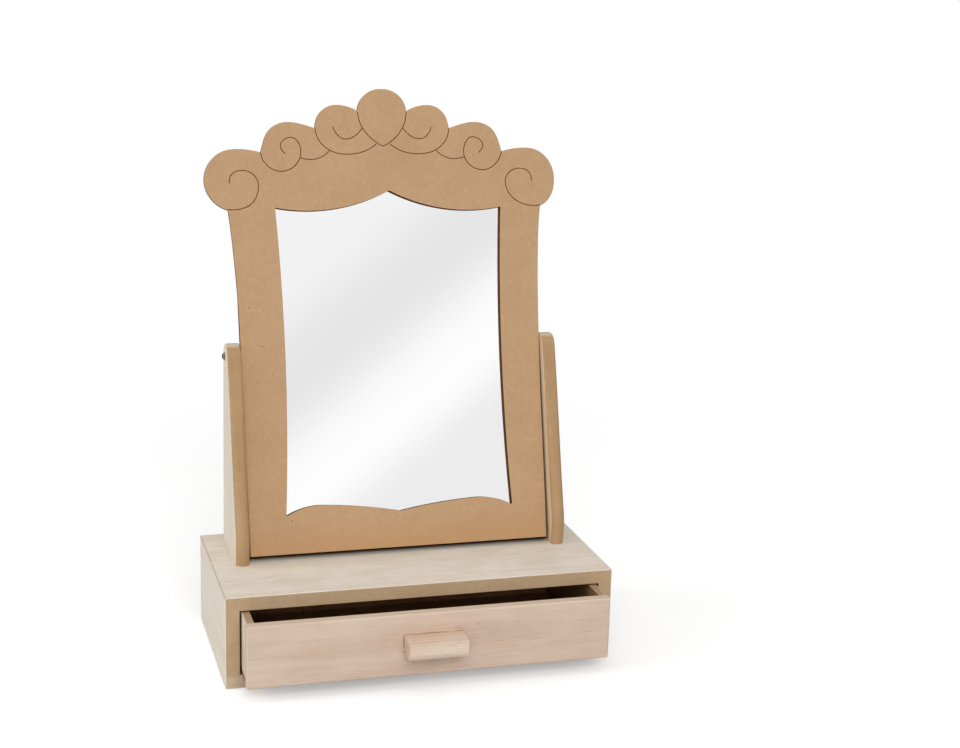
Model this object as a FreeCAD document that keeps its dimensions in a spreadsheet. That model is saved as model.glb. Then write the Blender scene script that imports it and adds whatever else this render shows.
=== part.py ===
import FreeCAD, Part
import math
import os

import Sketcher

# Tilting vanity mirror on a case with one drawer.
# Millimetres. Origin: centre of the case's underside. +X right, +Y to the back, +Z up.
# The mirror leans back at rest and the drawer is pulled out a little. Pieces: a mitred case, two
# posts, a mirror frame (fret-cut front, core strips, glass, backing, clips) and a drawer.

SIZES = (
    # case
    ("case_width", 250.0, "case, outside, left to right"),
    ("case_depth", 119.0, "case, outside, front to back"),
    ("case_height", 59.5, "case, outside, bottom to top"),
    ("case_board", 9.0, "thickness of the four case boards"),
    ("case_corner", 0.9, "rounding of the four long outer corners"),
    ("case_arris", 0.5, "rounding of the front and back rims"),
    ("back_panel", 3.0, "thickness of the case's back panel"),
    # posts
    ("post_thick", 9.0, "thickness of each post"),
    ("post_inset", 14.7, "case side to the post's outer face"),
    ("post_back_inset", 6.4, "case back to the back of the post's foot"),
    ("foot_depth", 59.6, "post's foot, front to back"),
    ("foot_flare", 7.6, "degrees that the foot's front leans forward"),
    ("front_lean", 18.1, "degrees that the post's front leans back"),
    ("bend_radius", 30.0, "bend between foot and leaning front"),
    ("head_radius", 9.7, "round head of the post"),
    ("head_ahead", 2.1, "head's centre in front of the pivot"),
    ("head_drop", 0.95, "head's centre below the pivot"),
    ("pivot_ahead", 13.5, "pivot in front of the foot's back corner"),
    ("nose_low", 4.4, "front edge rounding from the foot to the bend"),
    ("nose_high", 3.8, "front edge rounding where it meets the head"),
    ("post_arris", 1.0, "edge rounding down the post's back"),
    # mirror frame
    ("tilt", 15.6, "degrees that the mirror leans back at rest"),
    ("rest_gap", 4.1, "case top to the board's lower front edge at rest"),
    ("side_gap", 1.2, "post to the core, each side"),
    ("fret_thick", 3.0, "fret-cut front board"),
    ("side_height", 223.3, "board's lower edge to the top of its straight side"),
    ("crest_rise", 78.8, "top of the straight side to the crest's tip"),
    ("pivot_height", 129.6, "board's lower edge to the pivot"),
    ("window_margin", 23.9, "core's side to the window's corner"),
    ("window_low", 23.8, "board's lower edge to the window's lower corners"),
    ("window_high", 0.5, "window's upper corners above the straight side"),
    ("window_peak", 11.1, "window's middle above its upper corners"),
    ("window_turn", 0.5, "degrees that the window is cut out of true"),
    ("window_shift", 0.25, "window's middle to the right of the board's"),
    ("glass_lap", 6.0, "glass behind the board round the window"),
    ("glass_play", 0.6, "glass to the core strips"),
    ("glass_thick", 3.0, "mirror glass"),
    ("backing_thick", 3.0, "backing board"),
    ("core_top", 32.7, "core's top above the straight side"),
    ("core_drop", 1.4, "core's lower edge below the board's"),
    ("line_width", 0.6, "engraved line"),
    ("line_depth", 0.4, "engraved line"),
    # drawer
    ("drawer_out", 24.3, "drawer's front in front of the case at rest"),
    ("drawer_stop_gap", 0.3, "shut drawer to the case's back panel"),
    ("drawer_front", 6.6, "thickness of the drawer's front"),
    ("drawer_wall", 5.0, "thickness of the drawer's sides and back"),
    ("drawer_floor", 3.0, "thickness of the drawer's bottom"),
    ("front_side_gap", 0.5, "drawer's front to the case, each side"),
    ("wall_side_gap", 1.2, "drawer's sides to the case, each side"),
    ("drawer_low_gap", 0.3, "drawer to the case's bottom board"),
    ("drawer_top_gap", 1.15, "drawer to the case's top board"),
    ("drawer_arris", 0.9, "rounding round the drawer's front"),
    ("pull_width", 37.0, "pull block, left to right"),
    ("pull_height", 11.0, "pull block, bottom to top"),
    ("pull_depth", 16.0, "pull block, front to back"),
    ("pull_rise", 15.7, "drawer's lower edge to the pull's underside"),
    ("pull_ease_back", 1.8, "lower front of the pull, how far it falls back"),
    ("pull_ease_up", 4.2, "lower front of the pull, how high that starts"),
    # fixings
    ("pivot_shank", 1.5, "radius of the pivot screws"),
    ("pivot_play", 0.05, "radial play of the pivot screws in the posts"),
    ("pivot_reach", 16.0, "pivot screw's length inside the stile"),
    ("pivot_head", 2.7, "radius of the pivot screw's head"),
    ("pivot_dome", 1.7, "height of the pivot screw's head"),
    ("head_gap", 0.2, "pivot screw's head to the post"),
    ("washer_inset", 0.2, "core's face to the washer's rim"),
    ("washer_gap", 0.3, "washer to the post"),
    ("post_shank", 1.75, "radius of the screws up into the posts"),
    ("post_screw_head", 3.4, "radius of their countersunk heads"),
    ("post_screw_length", 30.0, "their length"),
    ("post_screw_margin", 14.0, "end of the foot to the nearer screw"),
    ("clip_shank", 1.2, "radius of the clip screws"),
    ("clip_screw_head", 2.4, "radius of their heads"),
    ("clip_screw_dome", 1.2, "height of their heads"),
    ("clip_screw_reach", 4.5, "their length in the core"),
    ("clip_length", 14.0, "backing clip"),
    ("clip_width", 8.0, "backing clip"),
    ("clip_thick", 1.0, "backing clip"),
    ("clip_lap", 5.0, "clip over the backing board"),
    ("clip_end", 4.5, "clip's outer end to its screw"),
    ("clip_spread", 70.0, "clips on a stile, above and below the middle"),
    ("pull_shank", 1.6, "radius of the pull's screws"),
    ("pull_screw_head", 3.1, "radius of their heads"),
    ("pull_screw_dome", 1.6, "height of their heads"),
    ("pull_screw_reach", 9.0, "their length in the pull"),
    ("pull_screw_spread", 9.0, "each of them from the pull's middle"),
    ("screw_fit", 0.02, "radial play of a fixed screw in its hole"),
    ("recess_arm", 0.3, "half width of a screw's cross recess"),
    ("recess_share", 0.55, "length of its arms over the head's radius"),
    ("recess_depth", 0.7, "depth of a screw's cross recess"),
)

doc = FreeCAD.newDocument("VanityMirror")
sheet = doc.addObject("Spreadsheet::Sheet", "Size")


class Dim:
    """A size: its number, and the expression on the sheet that gives it."""

    def __init__(self, number, text):
        self.number = number
        self.text = text

    def __add__(self, other):
        other = as_dim(other)
        return Dim(self.number + other.number, f"({self.text} + {other.text})")

    def __sub__(self, other):
        other = as_dim(other)
        return Dim(self.number - other.number, f"({self.text} - {other.text})")

    def __mul__(self, other):
        other = as_dim(other)
        return Dim(self.number * other.number, f"({self.text} * {other.text})")

    def __truediv__(self, other):
        other = as_dim(other)
        return Dim(self.number / other.number, f"({self.text} / {other.text})")

    def __rsub__(self, other):
        return as_dim(other) - self

    def __neg__(self):
        return Dim(-self.number, f"(0 - {self.text})")


def as_dim(value):
    return value if isinstance(value, Dim) else Dim(float(value), repr(float(value)))


def sine(angle):
    return Dim(math.sin(math.radians(angle.number)), f"sin({angle.text})")


def cosine(angle):
    return Dim(math.cos(math.radians(angle.number)), f"cos({angle.text})")


class Sizes:
    """The sheet's values by name."""


def fill_sheet():
    sizes = Sizes()
    for row, (name, number, note) in enumerate(SIZES, start=1):
        sheet.set(f"A{row}", note)
        sheet.set(f"B{row}", str(number))
        sheet.setAlias(f"B{row}", name)
        setattr(sizes, name, Dim(number, f"Size.{name}"))
    doc.recompute()
    return sizes


size = fill_sheet()
ZERO = as_dim(0)

# Derived places, shared by the pieces that meet there.
case_half = size.case_width / 2
case_front = -(size.case_depth / 2)
case_inside = case_half - size.case_board
bay_top = size.case_height - size.case_board
post_outside = case_half - size.post_inset
post_inside = post_outside - size.post_thick
post_back = size.case_depth / 2 - size.post_back_inset
core_thick = size.glass_thick + size.backing_thick
core_half = post_inside - size.side_gap
pivot_depth = size.fret_thick + core_thick / 2
pivot_y = post_back - size.pivot_ahead
pivot_rise = size.rest_gap + size.pivot_height * cosine(size.tilt) - pivot_depth * sine(size.tilt)
pivot_z = size.case_height + pivot_rise
window_half = core_half - size.window_margin
window_top = size.side_height + size.window_high + size.window_peak
glass_half = window_half + size.glass_lap
glass_low = size.window_low - size.glass_lap
glass_high = window_top + size.glass_lap
core_opening = glass_half + size.glass_play
core_height = size.side_height + size.core_top
core_low_opening = glass_low - size.glass_play
core_top_opening = glass_high + size.glass_play
drawer_bottom_z = size.case_board + size.drawer_low_gap
drawer_height = bay_top - size.drawer_top_gap - drawer_bottom_z
drawer_front_y = case_front - size.drawer_out
drawer_half = case_inside - size.wall_side_gap
drawer_length = size.case_depth - size.back_panel - size.drawer_stop_gap


# ---------------------------------------------------------------- helpers


def bind(thing, **dims):
    """Bind an object's properties to the sheet."""
    for name, dim in dims.items():
        thing.setExpression(name, as_dim(dim).text)
    return thing


def place(thing, x, y, z, axis=None, angle=None):
    """Bind an object's place, and its turn about one of its own axes through its origin."""
    spots = {"x": x, "y": y, "z": z}
    for name, dim in spots.items():
        thing.setExpression(f"Placement.Base.{name}", as_dim(dim).text)
    if axis is not None:
        vector = FreeCAD.Vector(*axis)
        thing.Placement = FreeCAD.Placement(FreeCAD.Vector(), FreeCAD.Rotation(vector, as_dim(angle).number))
        thing.setExpression("Placement.Rotation.Angle", as_dim(angle).text)
    return thing


def place_on_mirror(thing, x, depth, height):
    """Place a piece by board coordinates, where the board leans back about the pivot.

    depth runs back from the board's front face and height up from its lower edge.
    """
    back = as_dim(depth) - pivot_depth
    up = as_dim(height) - size.pivot_height
    y = pivot_y + back * cosine(size.tilt) + up * sine(size.tilt)
    z = pivot_z - back * sine(size.tilt) + up * cosine(size.tilt)
    return place(thing, x, y, z, (1, 0, 0), -size.tilt)


def new_body(name):
    body = doc.addObject("PartDesign::Body", name)
    body.Label = name
    return body


def origin_plane(body, role):
    return next(item for item in body.Origin.OriginFeatures if item.Role == role)


def new_sketch(body, name, role):
    sketch = body.newObject("Sketcher::SketchObject", name)
    sketch.AttachmentSupport = [(origin_plane(body, role), "")]
    sketch.MapMode = "FlatFace"
    return sketch


def pin_point(sketch, edge, end, across, up):
    """Hold one end of an edge at a place given by the sheet."""
    for kind, dim in (("DistanceX", across), ("DistanceY", up)):
        dim = as_dim(dim)
        number = sketch.addConstraint(Sketcher.Constraint(kind, -1, 1, edge, end, dim.number))
        sketch.setExpression(f"Constraints[{number}]", dim.text)


def arc_between(start, end, radius, turn):
    """Arc from start to end. turn is 1 for counter-clockwise travel and -1 for clockwise."""
    chord = end - start
    half = chord.Length / 2
    rise = math.sqrt(max(radius * radius - half * half, 0.0))
    normal = FreeCAD.Vector(-chord.y, chord.x, 0).normalize()
    centre = (start + end) * 0.5 + normal * (rise * turn)
    middle = centre - normal * (radius * turn)
    return Part.Arc(start, middle, end) if turn > 0 else Part.Arc(end, middle, start)


def outline(sketch, corners, arcs=None):
    """Draw a closed outline through corners, each held by the sheet.

    arcs gives, for an edge's number, its radius and the turn of arc_between.
    """
    arcs = arcs or {}
    corners = [(as_dim(across), as_dim(up)) for across, up in corners]
    points = [FreeCAD.Vector(across.number, up.number, 0) for across, up in corners]
    ends = []
    for number, start in enumerate(points):
        end = points[(number + 1) % len(points)]
        if number in arcs:
            radius, turn = arcs[number]
            sketch.addGeometry(arc_between(start, end, radius.number, turn), False)
            ends.append((1, 2) if turn > 0 else (2, 1))
        else:
            sketch.addGeometry(Part.LineSegment(start, end), False)
            ends.append((1, 2))
    for number in range(len(points)):
        after = (number + 1) % len(points)
        meet = (number, ends[number][1], after, ends[after][0])
        sketch.addConstraint(Sketcher.Constraint("Coincident", *meet))
    for number, (across, up) in enumerate(corners):
        pin_point(sketch, number, ends[number][0], across, up)
    for number, (radius, turn) in arcs.items():
        held = sketch.addConstraint(Sketcher.Constraint("Radius", number, radius.number))
        sketch.setExpression(f"Constraints[{held}]", radius.text)
    return sketch


def circles(sketch, centres, radius):
    """Draw equal circles with their centres and radius held by the sheet."""
    for number, (across, up) in enumerate(centres):
        across = as_dim(across)
        up = as_dim(up)
        middle = FreeCAD.Vector(across.number, up.number, 0)
        sketch.addGeometry(Part.Circle(middle, FreeCAD.Vector(0, 0, 1), radius.number), False)
        pin_point(sketch, number, 3, across, up)
        held = sketch.addConstraint(Sketcher.Constraint("Radius", number, radius.number))
        sketch.setExpression(f"Constraints[{held}]", radius.text)
    return sketch


def rectangle(wide, high):
    return [(ZERO, ZERO), (wide, ZERO), (wide, high), (ZERO, high)]


def pad(body, sketch, length, reverse=False):
    feature = body.newObject("PartDesign::Pad", sketch.Name + "_pad")
    feature.Profile = sketch
    feature.Reversed = reverse
    bind(feature, Length=length)
    sketch.Visibility = False
    doc.recompute()
    return feature


def pocket(body, sketch, length=None, reverse=False):
    """Cut a sketch into the body, right through where no length is given."""
    doc.recompute()
    before = body.Shape.Volume
    feature = body.newObject("PartDesign::Pocket", sketch.Name + "_pocket")
    feature.Profile = sketch
    feature.Reversed = reverse
    if length is None:
        feature.Type = "ThroughAll"
    else:
        bind(feature, Length=length)
    doc.recompute()
    if not body.Shape.Volume < before:
        raise RuntimeError(f"{sketch.Name} cuts nothing")
    return feature


def round_edges(body, base, test, radius, name):
    """Round those edges of base whose box passes the test."""
    names = [f"Edge{n}" for n, edge in enumerate(base.Shape.Edges, start=1) if test(edge.BoundBox)]
    if not names:
        raise RuntimeError(f"{name} finds no edge")
    feature = body.newObject("PartDesign::Fillet", name)
    feature.Base = (base, names)
    bind(feature, Radius=radius)
    doc.recompute()
    return feature


def near(first, second):
    return abs(first - as_dim(second).number) < 1e-4


def box(name, wide, deep, high):
    item = doc.addObject("Part::Box", name)
    return bind(item, Length=wide, Width=deep, Height=high)


def cylinder(name, radius, length, x, y, z, axis=None, angle=0):
    item = doc.addObject("Part::Cylinder", name)
    bind(item, Radius=radius, Height=length)
    return place(item, x, y, z, axis, angle)


def cut(name, base, tools):
    """Subtract tools from base as one boolean."""
    if len(tools) > 1:
        tool = doc.addObject("Part::MultiFuse", name + "_tools")
        tool.Shapes = tools
    else:
        tool = tools[0]
    item = doc.addObject("Part::Cut", name)
    item.Base = base
    item.Tool = tool
    item.Label = name
    return item


# ---------------------------------------------------------------- case


def case_board(name, length):
    """One mitred board: outer face up, its length along X, its depth along Y.

    Each mitre ends on the middle of the rounded outer corner.
    """
    body = new_body(name)
    thick = size.case_board
    share = 1 - math.cos(math.radians(45))
    inset = size.case_corner * share
    corners = [
        (thick, ZERO),
        (length - thick, ZERO),
        (length - inset, thick - inset),
        (length - size.case_corner, thick),
        (size.case_corner, thick),
        (inset, thick - inset),
    ]
    bends = {2: (size.case_corner, 1), 4: (size.case_corner, 1)}
    sketch = outline(new_sketch(body, name + "_profile", "XZ_Plane"), corners, bends)
    base = pad(body, sketch, size.case_depth, reverse=True)

    def on_rim(edge):
        flat = edge.YLength < 1e-4
        end = near(edge.YMin, 0) or near(edge.YMin, size.case_depth)
        outer = edge.ZMin > (thick - size.case_corner).number - 1e-3 and near(edge.ZMax, thick)
        return flat and end and outer

    round_edges(body, base, on_rim, size.case_arris, name + "_rims")
    return body


def case_top():
    """Top board, drilled and countersunk from below for the four post screws."""
    body = case_board("case_top", size.case_width)
    places = [(x, y - case_front) for x, y in post_screw_places(case_half)]
    sketch = circles(new_sketch(body, "case_top_holes", "XY_Plane"), places, size.post_shank + size.screw_fit)
    holes = pocket(body, sketch, reverse=True)

    def on_underside(edge):
        return near(edge.ZMin, 0) and near(edge.ZMax, 0) and near(edge.XLength, edge.YLength)

    names = [f"Edge{n}" for n, edge in enumerate(holes.Shape.Edges, start=1) if on_underside(edge.BoundBox)]
    sinks = body.newObject("PartDesign::Chamfer", "case_top_sinks")
    sinks.Base = (holes, names)
    bind(sinks, Size=size.post_screw_head - size.post_shank)
    doc.recompute()
    place(body, -case_half, case_front, bay_top)
    return body


def case_bottom():
    body = case_board("case_bottom", size.case_width)
    return place(body, case_half, case_front, size.case_board, (0, 1, 0), 180)


def case_right():
    body = case_board("case_right", size.case_height)
    return place(body, case_inside, case_front, size.case_height, (0, 1, 0), 90)


def case_left():
    body = case_board("case_left", size.case_height)
    return place(body, -case_inside, case_front, ZERO, (0, 1, 0), -90)


def case_back():
    """Thin panel let in flush between the four boards."""
    body = new_body("case_back")
    sketch = new_sketch(body, "case_back_profile", "XZ_Plane")
    outline(sketch, rectangle(case_inside * 2, bay_top - size.case_board))
    pad(body, sketch, size.back_panel, reverse=True)
    return place(body, -case_inside, -case_front - size.back_panel, size.case_board)


# ---------------------------------------------------------------- posts


def post_screw_places(middle):
    """X and Y of the four screws that hold the posts, where the case's middle is at X = middle."""
    across = post_outside - size.post_thick / 2
    back = post_back - size.post_screw_margin
    front = post_back - size.foot_depth + size.post_screw_margin
    left = middle - across
    right = middle + across
    return [(left, front), (left, back), (right, front), (right, back)]


def post_profile(name):
    """Side view of a post from the back lower corner of its foot; forward is negative.

    Straight foot, soft bend, leaning front, round head about the pivot, straight back.
    """
    sketch = doc.addObject("Sketcher::SketchObject", name)
    sketch.Placement = FreeCAD.Placement(FreeCAD.Vector(), FreeCAD.Rotation(FreeCAD.Vector(1, 1, 1), 120))
    lean = math.radians(size.front_lean.number)
    flare = math.radians(size.foot_flare.number)
    head = size.head_radius.number
    middle = pivot_rise - size.head_drop
    centre = FreeCAD.Vector(-(size.pivot_ahead + size.head_ahead).number, middle.number, 0)
    back = FreeCAD.Vector(0, 0, 0)
    front = FreeCAD.Vector(-size.foot_depth.number, 0, 0)
    touch = centre + FreeCAD.Vector(-math.cos(lean), math.sin(lean), 0) * head
    rear = centre + FreeCAD.Vector(1, 0, 0) * head
    # the foot's front and the leaning front would meet at this corner
    rise = (front.x - touch.x + touch.y * math.tan(lean)) / (math.tan(lean) + math.tan(flare))
    corner = FreeCAD.Vector(front.x - rise * math.tan(flare), rise, 0)
    setback = size.bend_radius.number * math.tan((lean + flare) / 2)
    low = corner + FreeCAD.Vector(math.sin(flare), -math.cos(flare), 0) * setback
    high = corner + FreeCAD.Vector(math.sin(lean), math.cos(lean), 0) * setback
    crown = centre + FreeCAD.Vector(0, head, 0)
    sketch.addGeometry(Part.LineSegment(back, front), False)
    sketch.addGeometry(Part.LineSegment(front, low), False)
    sketch.addGeometry(arc_between(low, high, size.bend_radius.number, -1), False)
    sketch.addGeometry(Part.LineSegment(high, touch), False)
    sketch.addGeometry(Part.Arc(rear, crown, touch), False)
    sketch.addGeometry(Part.LineSegment(rear, back), False)
    for first, end, second, start, kind in (
        (0, 2, 1, 1, "Coincident"),
        (1, 2, 2, 2, "Tangent"),
        (2, 1, 3, 1, "Tangent"),
        (3, 2, 4, 2, "Tangent"),
        (4, 1, 5, 1, "Tangent"),
        (5, 2, 0, 1, "Coincident"),
    ):
        sketch.addConstraint(Sketcher.Constraint(kind, first, end, second, start))
    pin_point(sketch, 0, 1, ZERO, ZERO)
    pin_point(sketch, 0, 2, -size.foot_depth, ZERO)
    pin_point(sketch, 4, 3, -(size.pivot_ahead + size.head_ahead), middle)
    for kind, edge, dim in (
        ("Radius", 2, size.bend_radius),
        ("Radius", 4, size.head_radius),
        ("Angle", 1, size.foot_flare + 90),
        ("Angle", 3, 90 - size.front_lean),
    ):
        number = math.radians(dim.number) if kind == "Angle" else dim.number
        held = sketch.addConstraint(Sketcher.Constraint(kind, edge, number))
        sketch.setExpression(f"Constraints[{held}]", dim.text)
    doc.recompute()
    return sketch


def soften_post(name, blank):
    """Round the post's long edges: a nose up the front that fades out round the head."""
    low = size.nose_low.number
    high = size.nose_high.number
    small = size.post_arris.number
    radii = []
    for number, edge in enumerate(blank.Shape.Edges, start=1):
        bounds = edge.BoundBox
        if bounds.XLength > 1e-4 or bounds.ZMax < 1e-4:
            continue
        middle = edge.valueAt((edge.FirstParameter + edge.LastParameter) / 2)
        in_front = middle.y < -size.foot_depth.number * 0.5
        straight = edge.Curve.TypeId == "Part::GeomLine"
        first, last = edge.Vertexes[0].Point, edge.Vertexes[-1].Point
        if in_front and straight and bounds.ZMin > 1e-4:
            radii.append((number, low, high) if first.z < last.z else (number, high, low))
        elif in_front and bounds.ZMax < pivot_rise.number * 0.6:
            radii.append((number, low, low))
        elif not straight:
            radii.append((number, high, small) if first.y < last.y else (number, small, high))
        else:
            radii.append((number, small, small))
    item = doc.addObject("Part::Fillet", name + "_soft")
    item.Base = blank
    item.Edges = radii
    doc.recompute()
    return item


def post(name, x):
    """One post, drilled across for the pivot screw and up into the foot for its two screws."""
    blank = doc.addObject("Part::Extrusion", name + "_blank")
    blank.Base = post_profile(name + "_profile")
    blank.DirMode = "Normal"
    blank.Solid = True
    bind(blank, LengthFwd=size.post_thick)
    doc.recompute()
    soft = soften_post(name, blank)
    bore = cylinder(
        name + "_bore", size.pivot_shank + size.pivot_play, size.post_thick + 2,
        ZERO - 1, -size.pivot_ahead, pivot_rise, (0, 1, 0), 90,
    )
    holes = [bore]
    for number, y in enumerate((size.post_screw_margin - size.foot_depth, -size.post_screw_margin), start=1):
        holes.append(cylinder(
            f"{name}_hole_{number}", size.post_shank + size.screw_fit,
            size.post_screw_length - size.case_board + 2, size.post_thick / 2, y, ZERO - 1,
        ))
    return place(cut(name, soft, holes), x, post_back, size.case_height)


# ---------------------------------------------------------------- mirror frame


# Right half of the fret board as X and height, for a core 100.1 half wide, a side 223.3 high
# and a crest 78.8 above it. Each run is one smooth curve and the runs meet in notches.
SIDE = (
    (99.2, 0.0), (99.8, 59.5), (100.4, 119.5), (100.7, 139.5), (101.5, 171.5), (102.6, 192.0),
    (104.2, 213.0), (105.5, 223.3),
)
SCROLLS = (
    ((105.5, 223.3), (112.9, 228.1), (118.0, 239.6), (115.9, 252.1), (107.0, 260.9), (94.4, 262.8),
     (81.4, 260.6)),
    ((81.4, 260.6), (79.5, 267.6), (75.8, 275.0), (66.6, 280.0), (55.9, 279.4), (45.3, 276.2)),
    ((45.3, 276.2), (44.5, 280.9), (43.1, 284.5), (36.1, 290.6), (25.7, 291.1), (16.5, 287.6)),
    ((16.5, 287.6), (14.9, 293.6), (11.2, 298.3), (6.0, 301.3), (0.0, 302.1)),
)
# Engraved lines in the same terms: two spirals, a link, a bowl, a hook and half a teardrop.
LINES = (
    ((105.35, 223.7), (96.8, 224.0), (89.1, 227.5), (84.3, 234.4), (84.0, 242.9), (90.1, 248.35),
     (98.5, 247.8), (101.95, 240.8)),
    ((81.3, 260.0), (77.5, 252.5), (70.2, 248.3), (62.0, 249.5), (56.2, 255.4), (55.4, 263.7),
     (60.4, 270.1), (67.4, 267.5), (65.5, 259.9)),
    ((55.25, 256.75), (51.2, 255.9), (47.0, 255.7), (43.0, 256.6), (39.2, 258.5), (36.2, 261.2)),
    ((45.05, 275.7), (41.6, 266.4), (33.5, 260.6), (23.5, 259.0), (13.5, 260.6), (4.7, 265.7)),
    ((13.7, 276.05), (17.25, 272.3), (21.6, 269.6), (26.7, 269.3), (30.9, 272.2), (33.06, 276.9)),
    ((16.5, 286.8), (15.8, 282.2), (14.3, 277.75), (11.9, 273.85), (8.9, 270.3), (5.3, 267.3), (2.5, 265.4),
     (0.0, 264.3)),
)


DRAWN_HALF = 100.1
DRAWN_HEAD = 139.3
DRAWN_SIDE = 223.3
DRAWN_CREST = 78.8
# The cut strays a little to the right up the sides and to the left round the scrolls, and the
# left side's foot is fuller than the right's: height, X on the left, X on the right.
STRAY = (
    (0.0, -1.0, 0.0), (60.0, -0.75, 0.0), (120.0, -0.35, 0.0), (150.0, 0.3, 0.4), (210.0, 0.5, 0.6),
    (223.3, 0.8, 0.8), (230.0, -0.4, -0.4), (238.0, -1.1, -0.9), (252.0, -1.1, -0.9), (264.0, -0.5, -0.5),
    (282.0, -0.35, -0.35), (303.0, -0.2, -0.2),
)


def stray(height, side):
    """How far right of true the cut is at a height of the drawing, between the listed heights."""
    column = 1 if side < 0 else 2
    for below, above in zip(STRAY, STRAY[1:]):
        if height <= above[0]:
            share = (height - below[0]) / (above[0] - below[0])
            return below[column] + (above[column] - below[column]) * share
    return STRAY[-1][column]


def board_point(x, height, side=1):
    """Point of the drawn outline on the board's front face, fitted to the sheet's sizes.

    side is 1 for the right half and -1 for the left. The sides flare only above the posts' heads.
    """
    wide = core_half.number / DRAWN_HALF
    head = size.pivot_height.number + size.head_radius.number
    if height <= DRAWN_HEAD:
        high = height / DRAWN_HEAD * head
    elif height <= DRAWN_SIDE:
        high = head + (height - DRAWN_HEAD) / (DRAWN_SIDE - DRAWN_HEAD) * (size.side_height.number - head)
    else:
        high = size.side_height.number + (height - DRAWN_SIDE) / DRAWN_CREST * size.crest_rise.number
    return FreeCAD.Vector((x * side + stray(height, side)) * wide, 0, high)


def smooth_curve(points):
    curve = Part.BSplineCurve()
    curve.interpolate([FreeCAD.Vector(point) for point in points])
    return curve


def fret_outline():
    """Closed wire: straight foot, faintly bowed sides, four pairs of scrolls up to the crest."""
    edges = []
    for side in (1, -1):
        for run in (SIDE,) + SCROLLS:
            edges.append(smooth_curve([board_point(x, high, side) for x, high in run]).toShape())
    edges.append(Part.LineSegment(board_point(*SIDE[0], -1), board_point(*SIDE[0], 1)).toShape())
    return Part.Wire(Part.__sortEdges__(edges))


def window_wire():
    """Closed wire: ogee-arched head, sides bowed in, foot rising to a blunt cusp."""
    half = window_half.number
    low = size.window_low.number
    high = (size.side_height + size.window_high).number
    top = window_top.number
    right = (
        ((0.0, top), (half * 0.5, high - 1.0), (half, high)),
        ((half, high), (half - 3.2, (high + low) / 2), (half, low)),
        ((half, low), (half * 0.842, low + 4.8), (half * 0.658, low + 6.0)),
        ((half * 0.658, low + 6.0), (half * 0.342, low + 3.9), (0.0, low - 0.2)),
    )
    edges = []
    for sign in (1, -1):
        for arc in right:
            ends = [FreeCAD.Vector(sign * x, 0, z) for x, z in arc]
            edges.append(Part.Arc(*ends).toShape())
    wire = Part.Wire(Part.__sortEdges__(edges))
    wire.rotate(FreeCAD.Vector(0, 0, low), FreeCAD.Vector(0, 1, 0), size.window_turn.number)
    wire.translate(FreeCAD.Vector(size.window_shift.number, 0, 0))
    return wire


def engraved_strip(points):
    """Solid of one engraved line, round at both ends, to take out of the board's front."""
    curve = smooth_curve(points)
    half = size.line_width.number / 2
    count = 5 * (len(points) - 1) + 1
    span = curve.LastParameter - curve.FirstParameter
    left = []
    right = []
    for number in range(count):
        spot = curve.FirstParameter + span * number / (count - 1)
        point = curve.value(spot)
        along = FreeCAD.Vector(*curve.tangent(spot)[0])
        across = FreeCAD.Vector(-along.z, 0, along.x).normalize() * half
        left.append(point + across)
        right.append(point - across)
    start = curve.value(curve.FirstParameter)
    end = curve.value(curve.LastParameter)
    before = FreeCAD.Vector(*curve.tangent(curve.FirstParameter)[0]).normalize() * half
    after = FreeCAD.Vector(*curve.tangent(curve.LastParameter)[0]).normalize() * half
    edges = [
        smooth_curve(left).toShape(),
        Part.Arc(left[-1], end + after, right[-1]).toShape(),
        smooth_curve(list(reversed(right))).toShape(),
        Part.Arc(right[0], start - before, left[0]).toShape(),
    ]
    face = Part.Face(Part.Wire(edges))
    strip = face.extrude(FreeCAD.Vector(0, size.line_depth.number + 1, 0))
    strip.translate(FreeCAD.Vector(0, -1, 0))
    return strip


def fret_board():
    """Front board: outline and window cut right through, scroll lines engraved in its face."""
    thick = FreeCAD.Vector(0, size.fret_thick.number, 0)
    board = Part.Face(fret_outline()).extrude(thick)
    window = Part.Face(window_wire()).extrude(thick * 3)
    window.translate(-thick)
    board = board.cut(window)
    for line in LINES:
        for side in (1, -1):
            board = board.cut(engraved_strip([board_point(x, high, side) for x, high in line]))
    item = doc.addObject("Part::Feature", "fret_board")
    item.Shape = board.Solids[0] if len(board.Solids) == 1 else board
    return place_on_mirror(item, ZERO, ZERO, ZERO)


def core_piece(name, x, height, wide, high, holes):
    """One strip of the core. holes are X, height and kind, where kind is clip or pivot."""
    strip = box(name + "_strip", wide, core_thick, high)
    tools = []
    for number, (across, up, kind) in enumerate(holes, start=1):
        label = f"{name}_hole_{number}"
        if kind == "clip":
            deep = size.clip_screw_reach + 0.5
            tools.append(cylinder(
                label, size.clip_shank + size.screw_fit, deep + 1,
                across - x, core_thick - deep, up - height, (1, 0, 0), -90,
            ))
        else:
            tools.append(cylinder(
                label, size.pivot_shank + size.screw_fit, wide + 2,
                ZERO - 1, core_thick / 2, up - height, (0, 1, 0), 90,
            ))
    return place_on_mirror(cut(name, strip, tools), x, size.fret_thick, height)


def clip_places():
    """Name, X and height of each backing clip's screw, and the way the clip points in."""
    middle = (glass_low + glass_high) / 2
    side = core_opening - size.clip_lap + size.clip_length - size.clip_end
    top = core_top_opening - size.clip_lap + size.clip_length - size.clip_end
    bottom = core_low_opening + size.clip_lap - size.clip_length + size.clip_end
    places = []
    for label, sign in (("left", -1), ("right", 1)):
        places.append((f"{label}_low", side * sign, middle - size.clip_spread, -sign, 0))
        places.append((f"{label}_high", side * sign, middle + size.clip_spread, -sign, 0))
    places.append(("top", ZERO, top, 0, -1))
    places.append(("bottom", ZERO, bottom, 0, 1))
    return places


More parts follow.
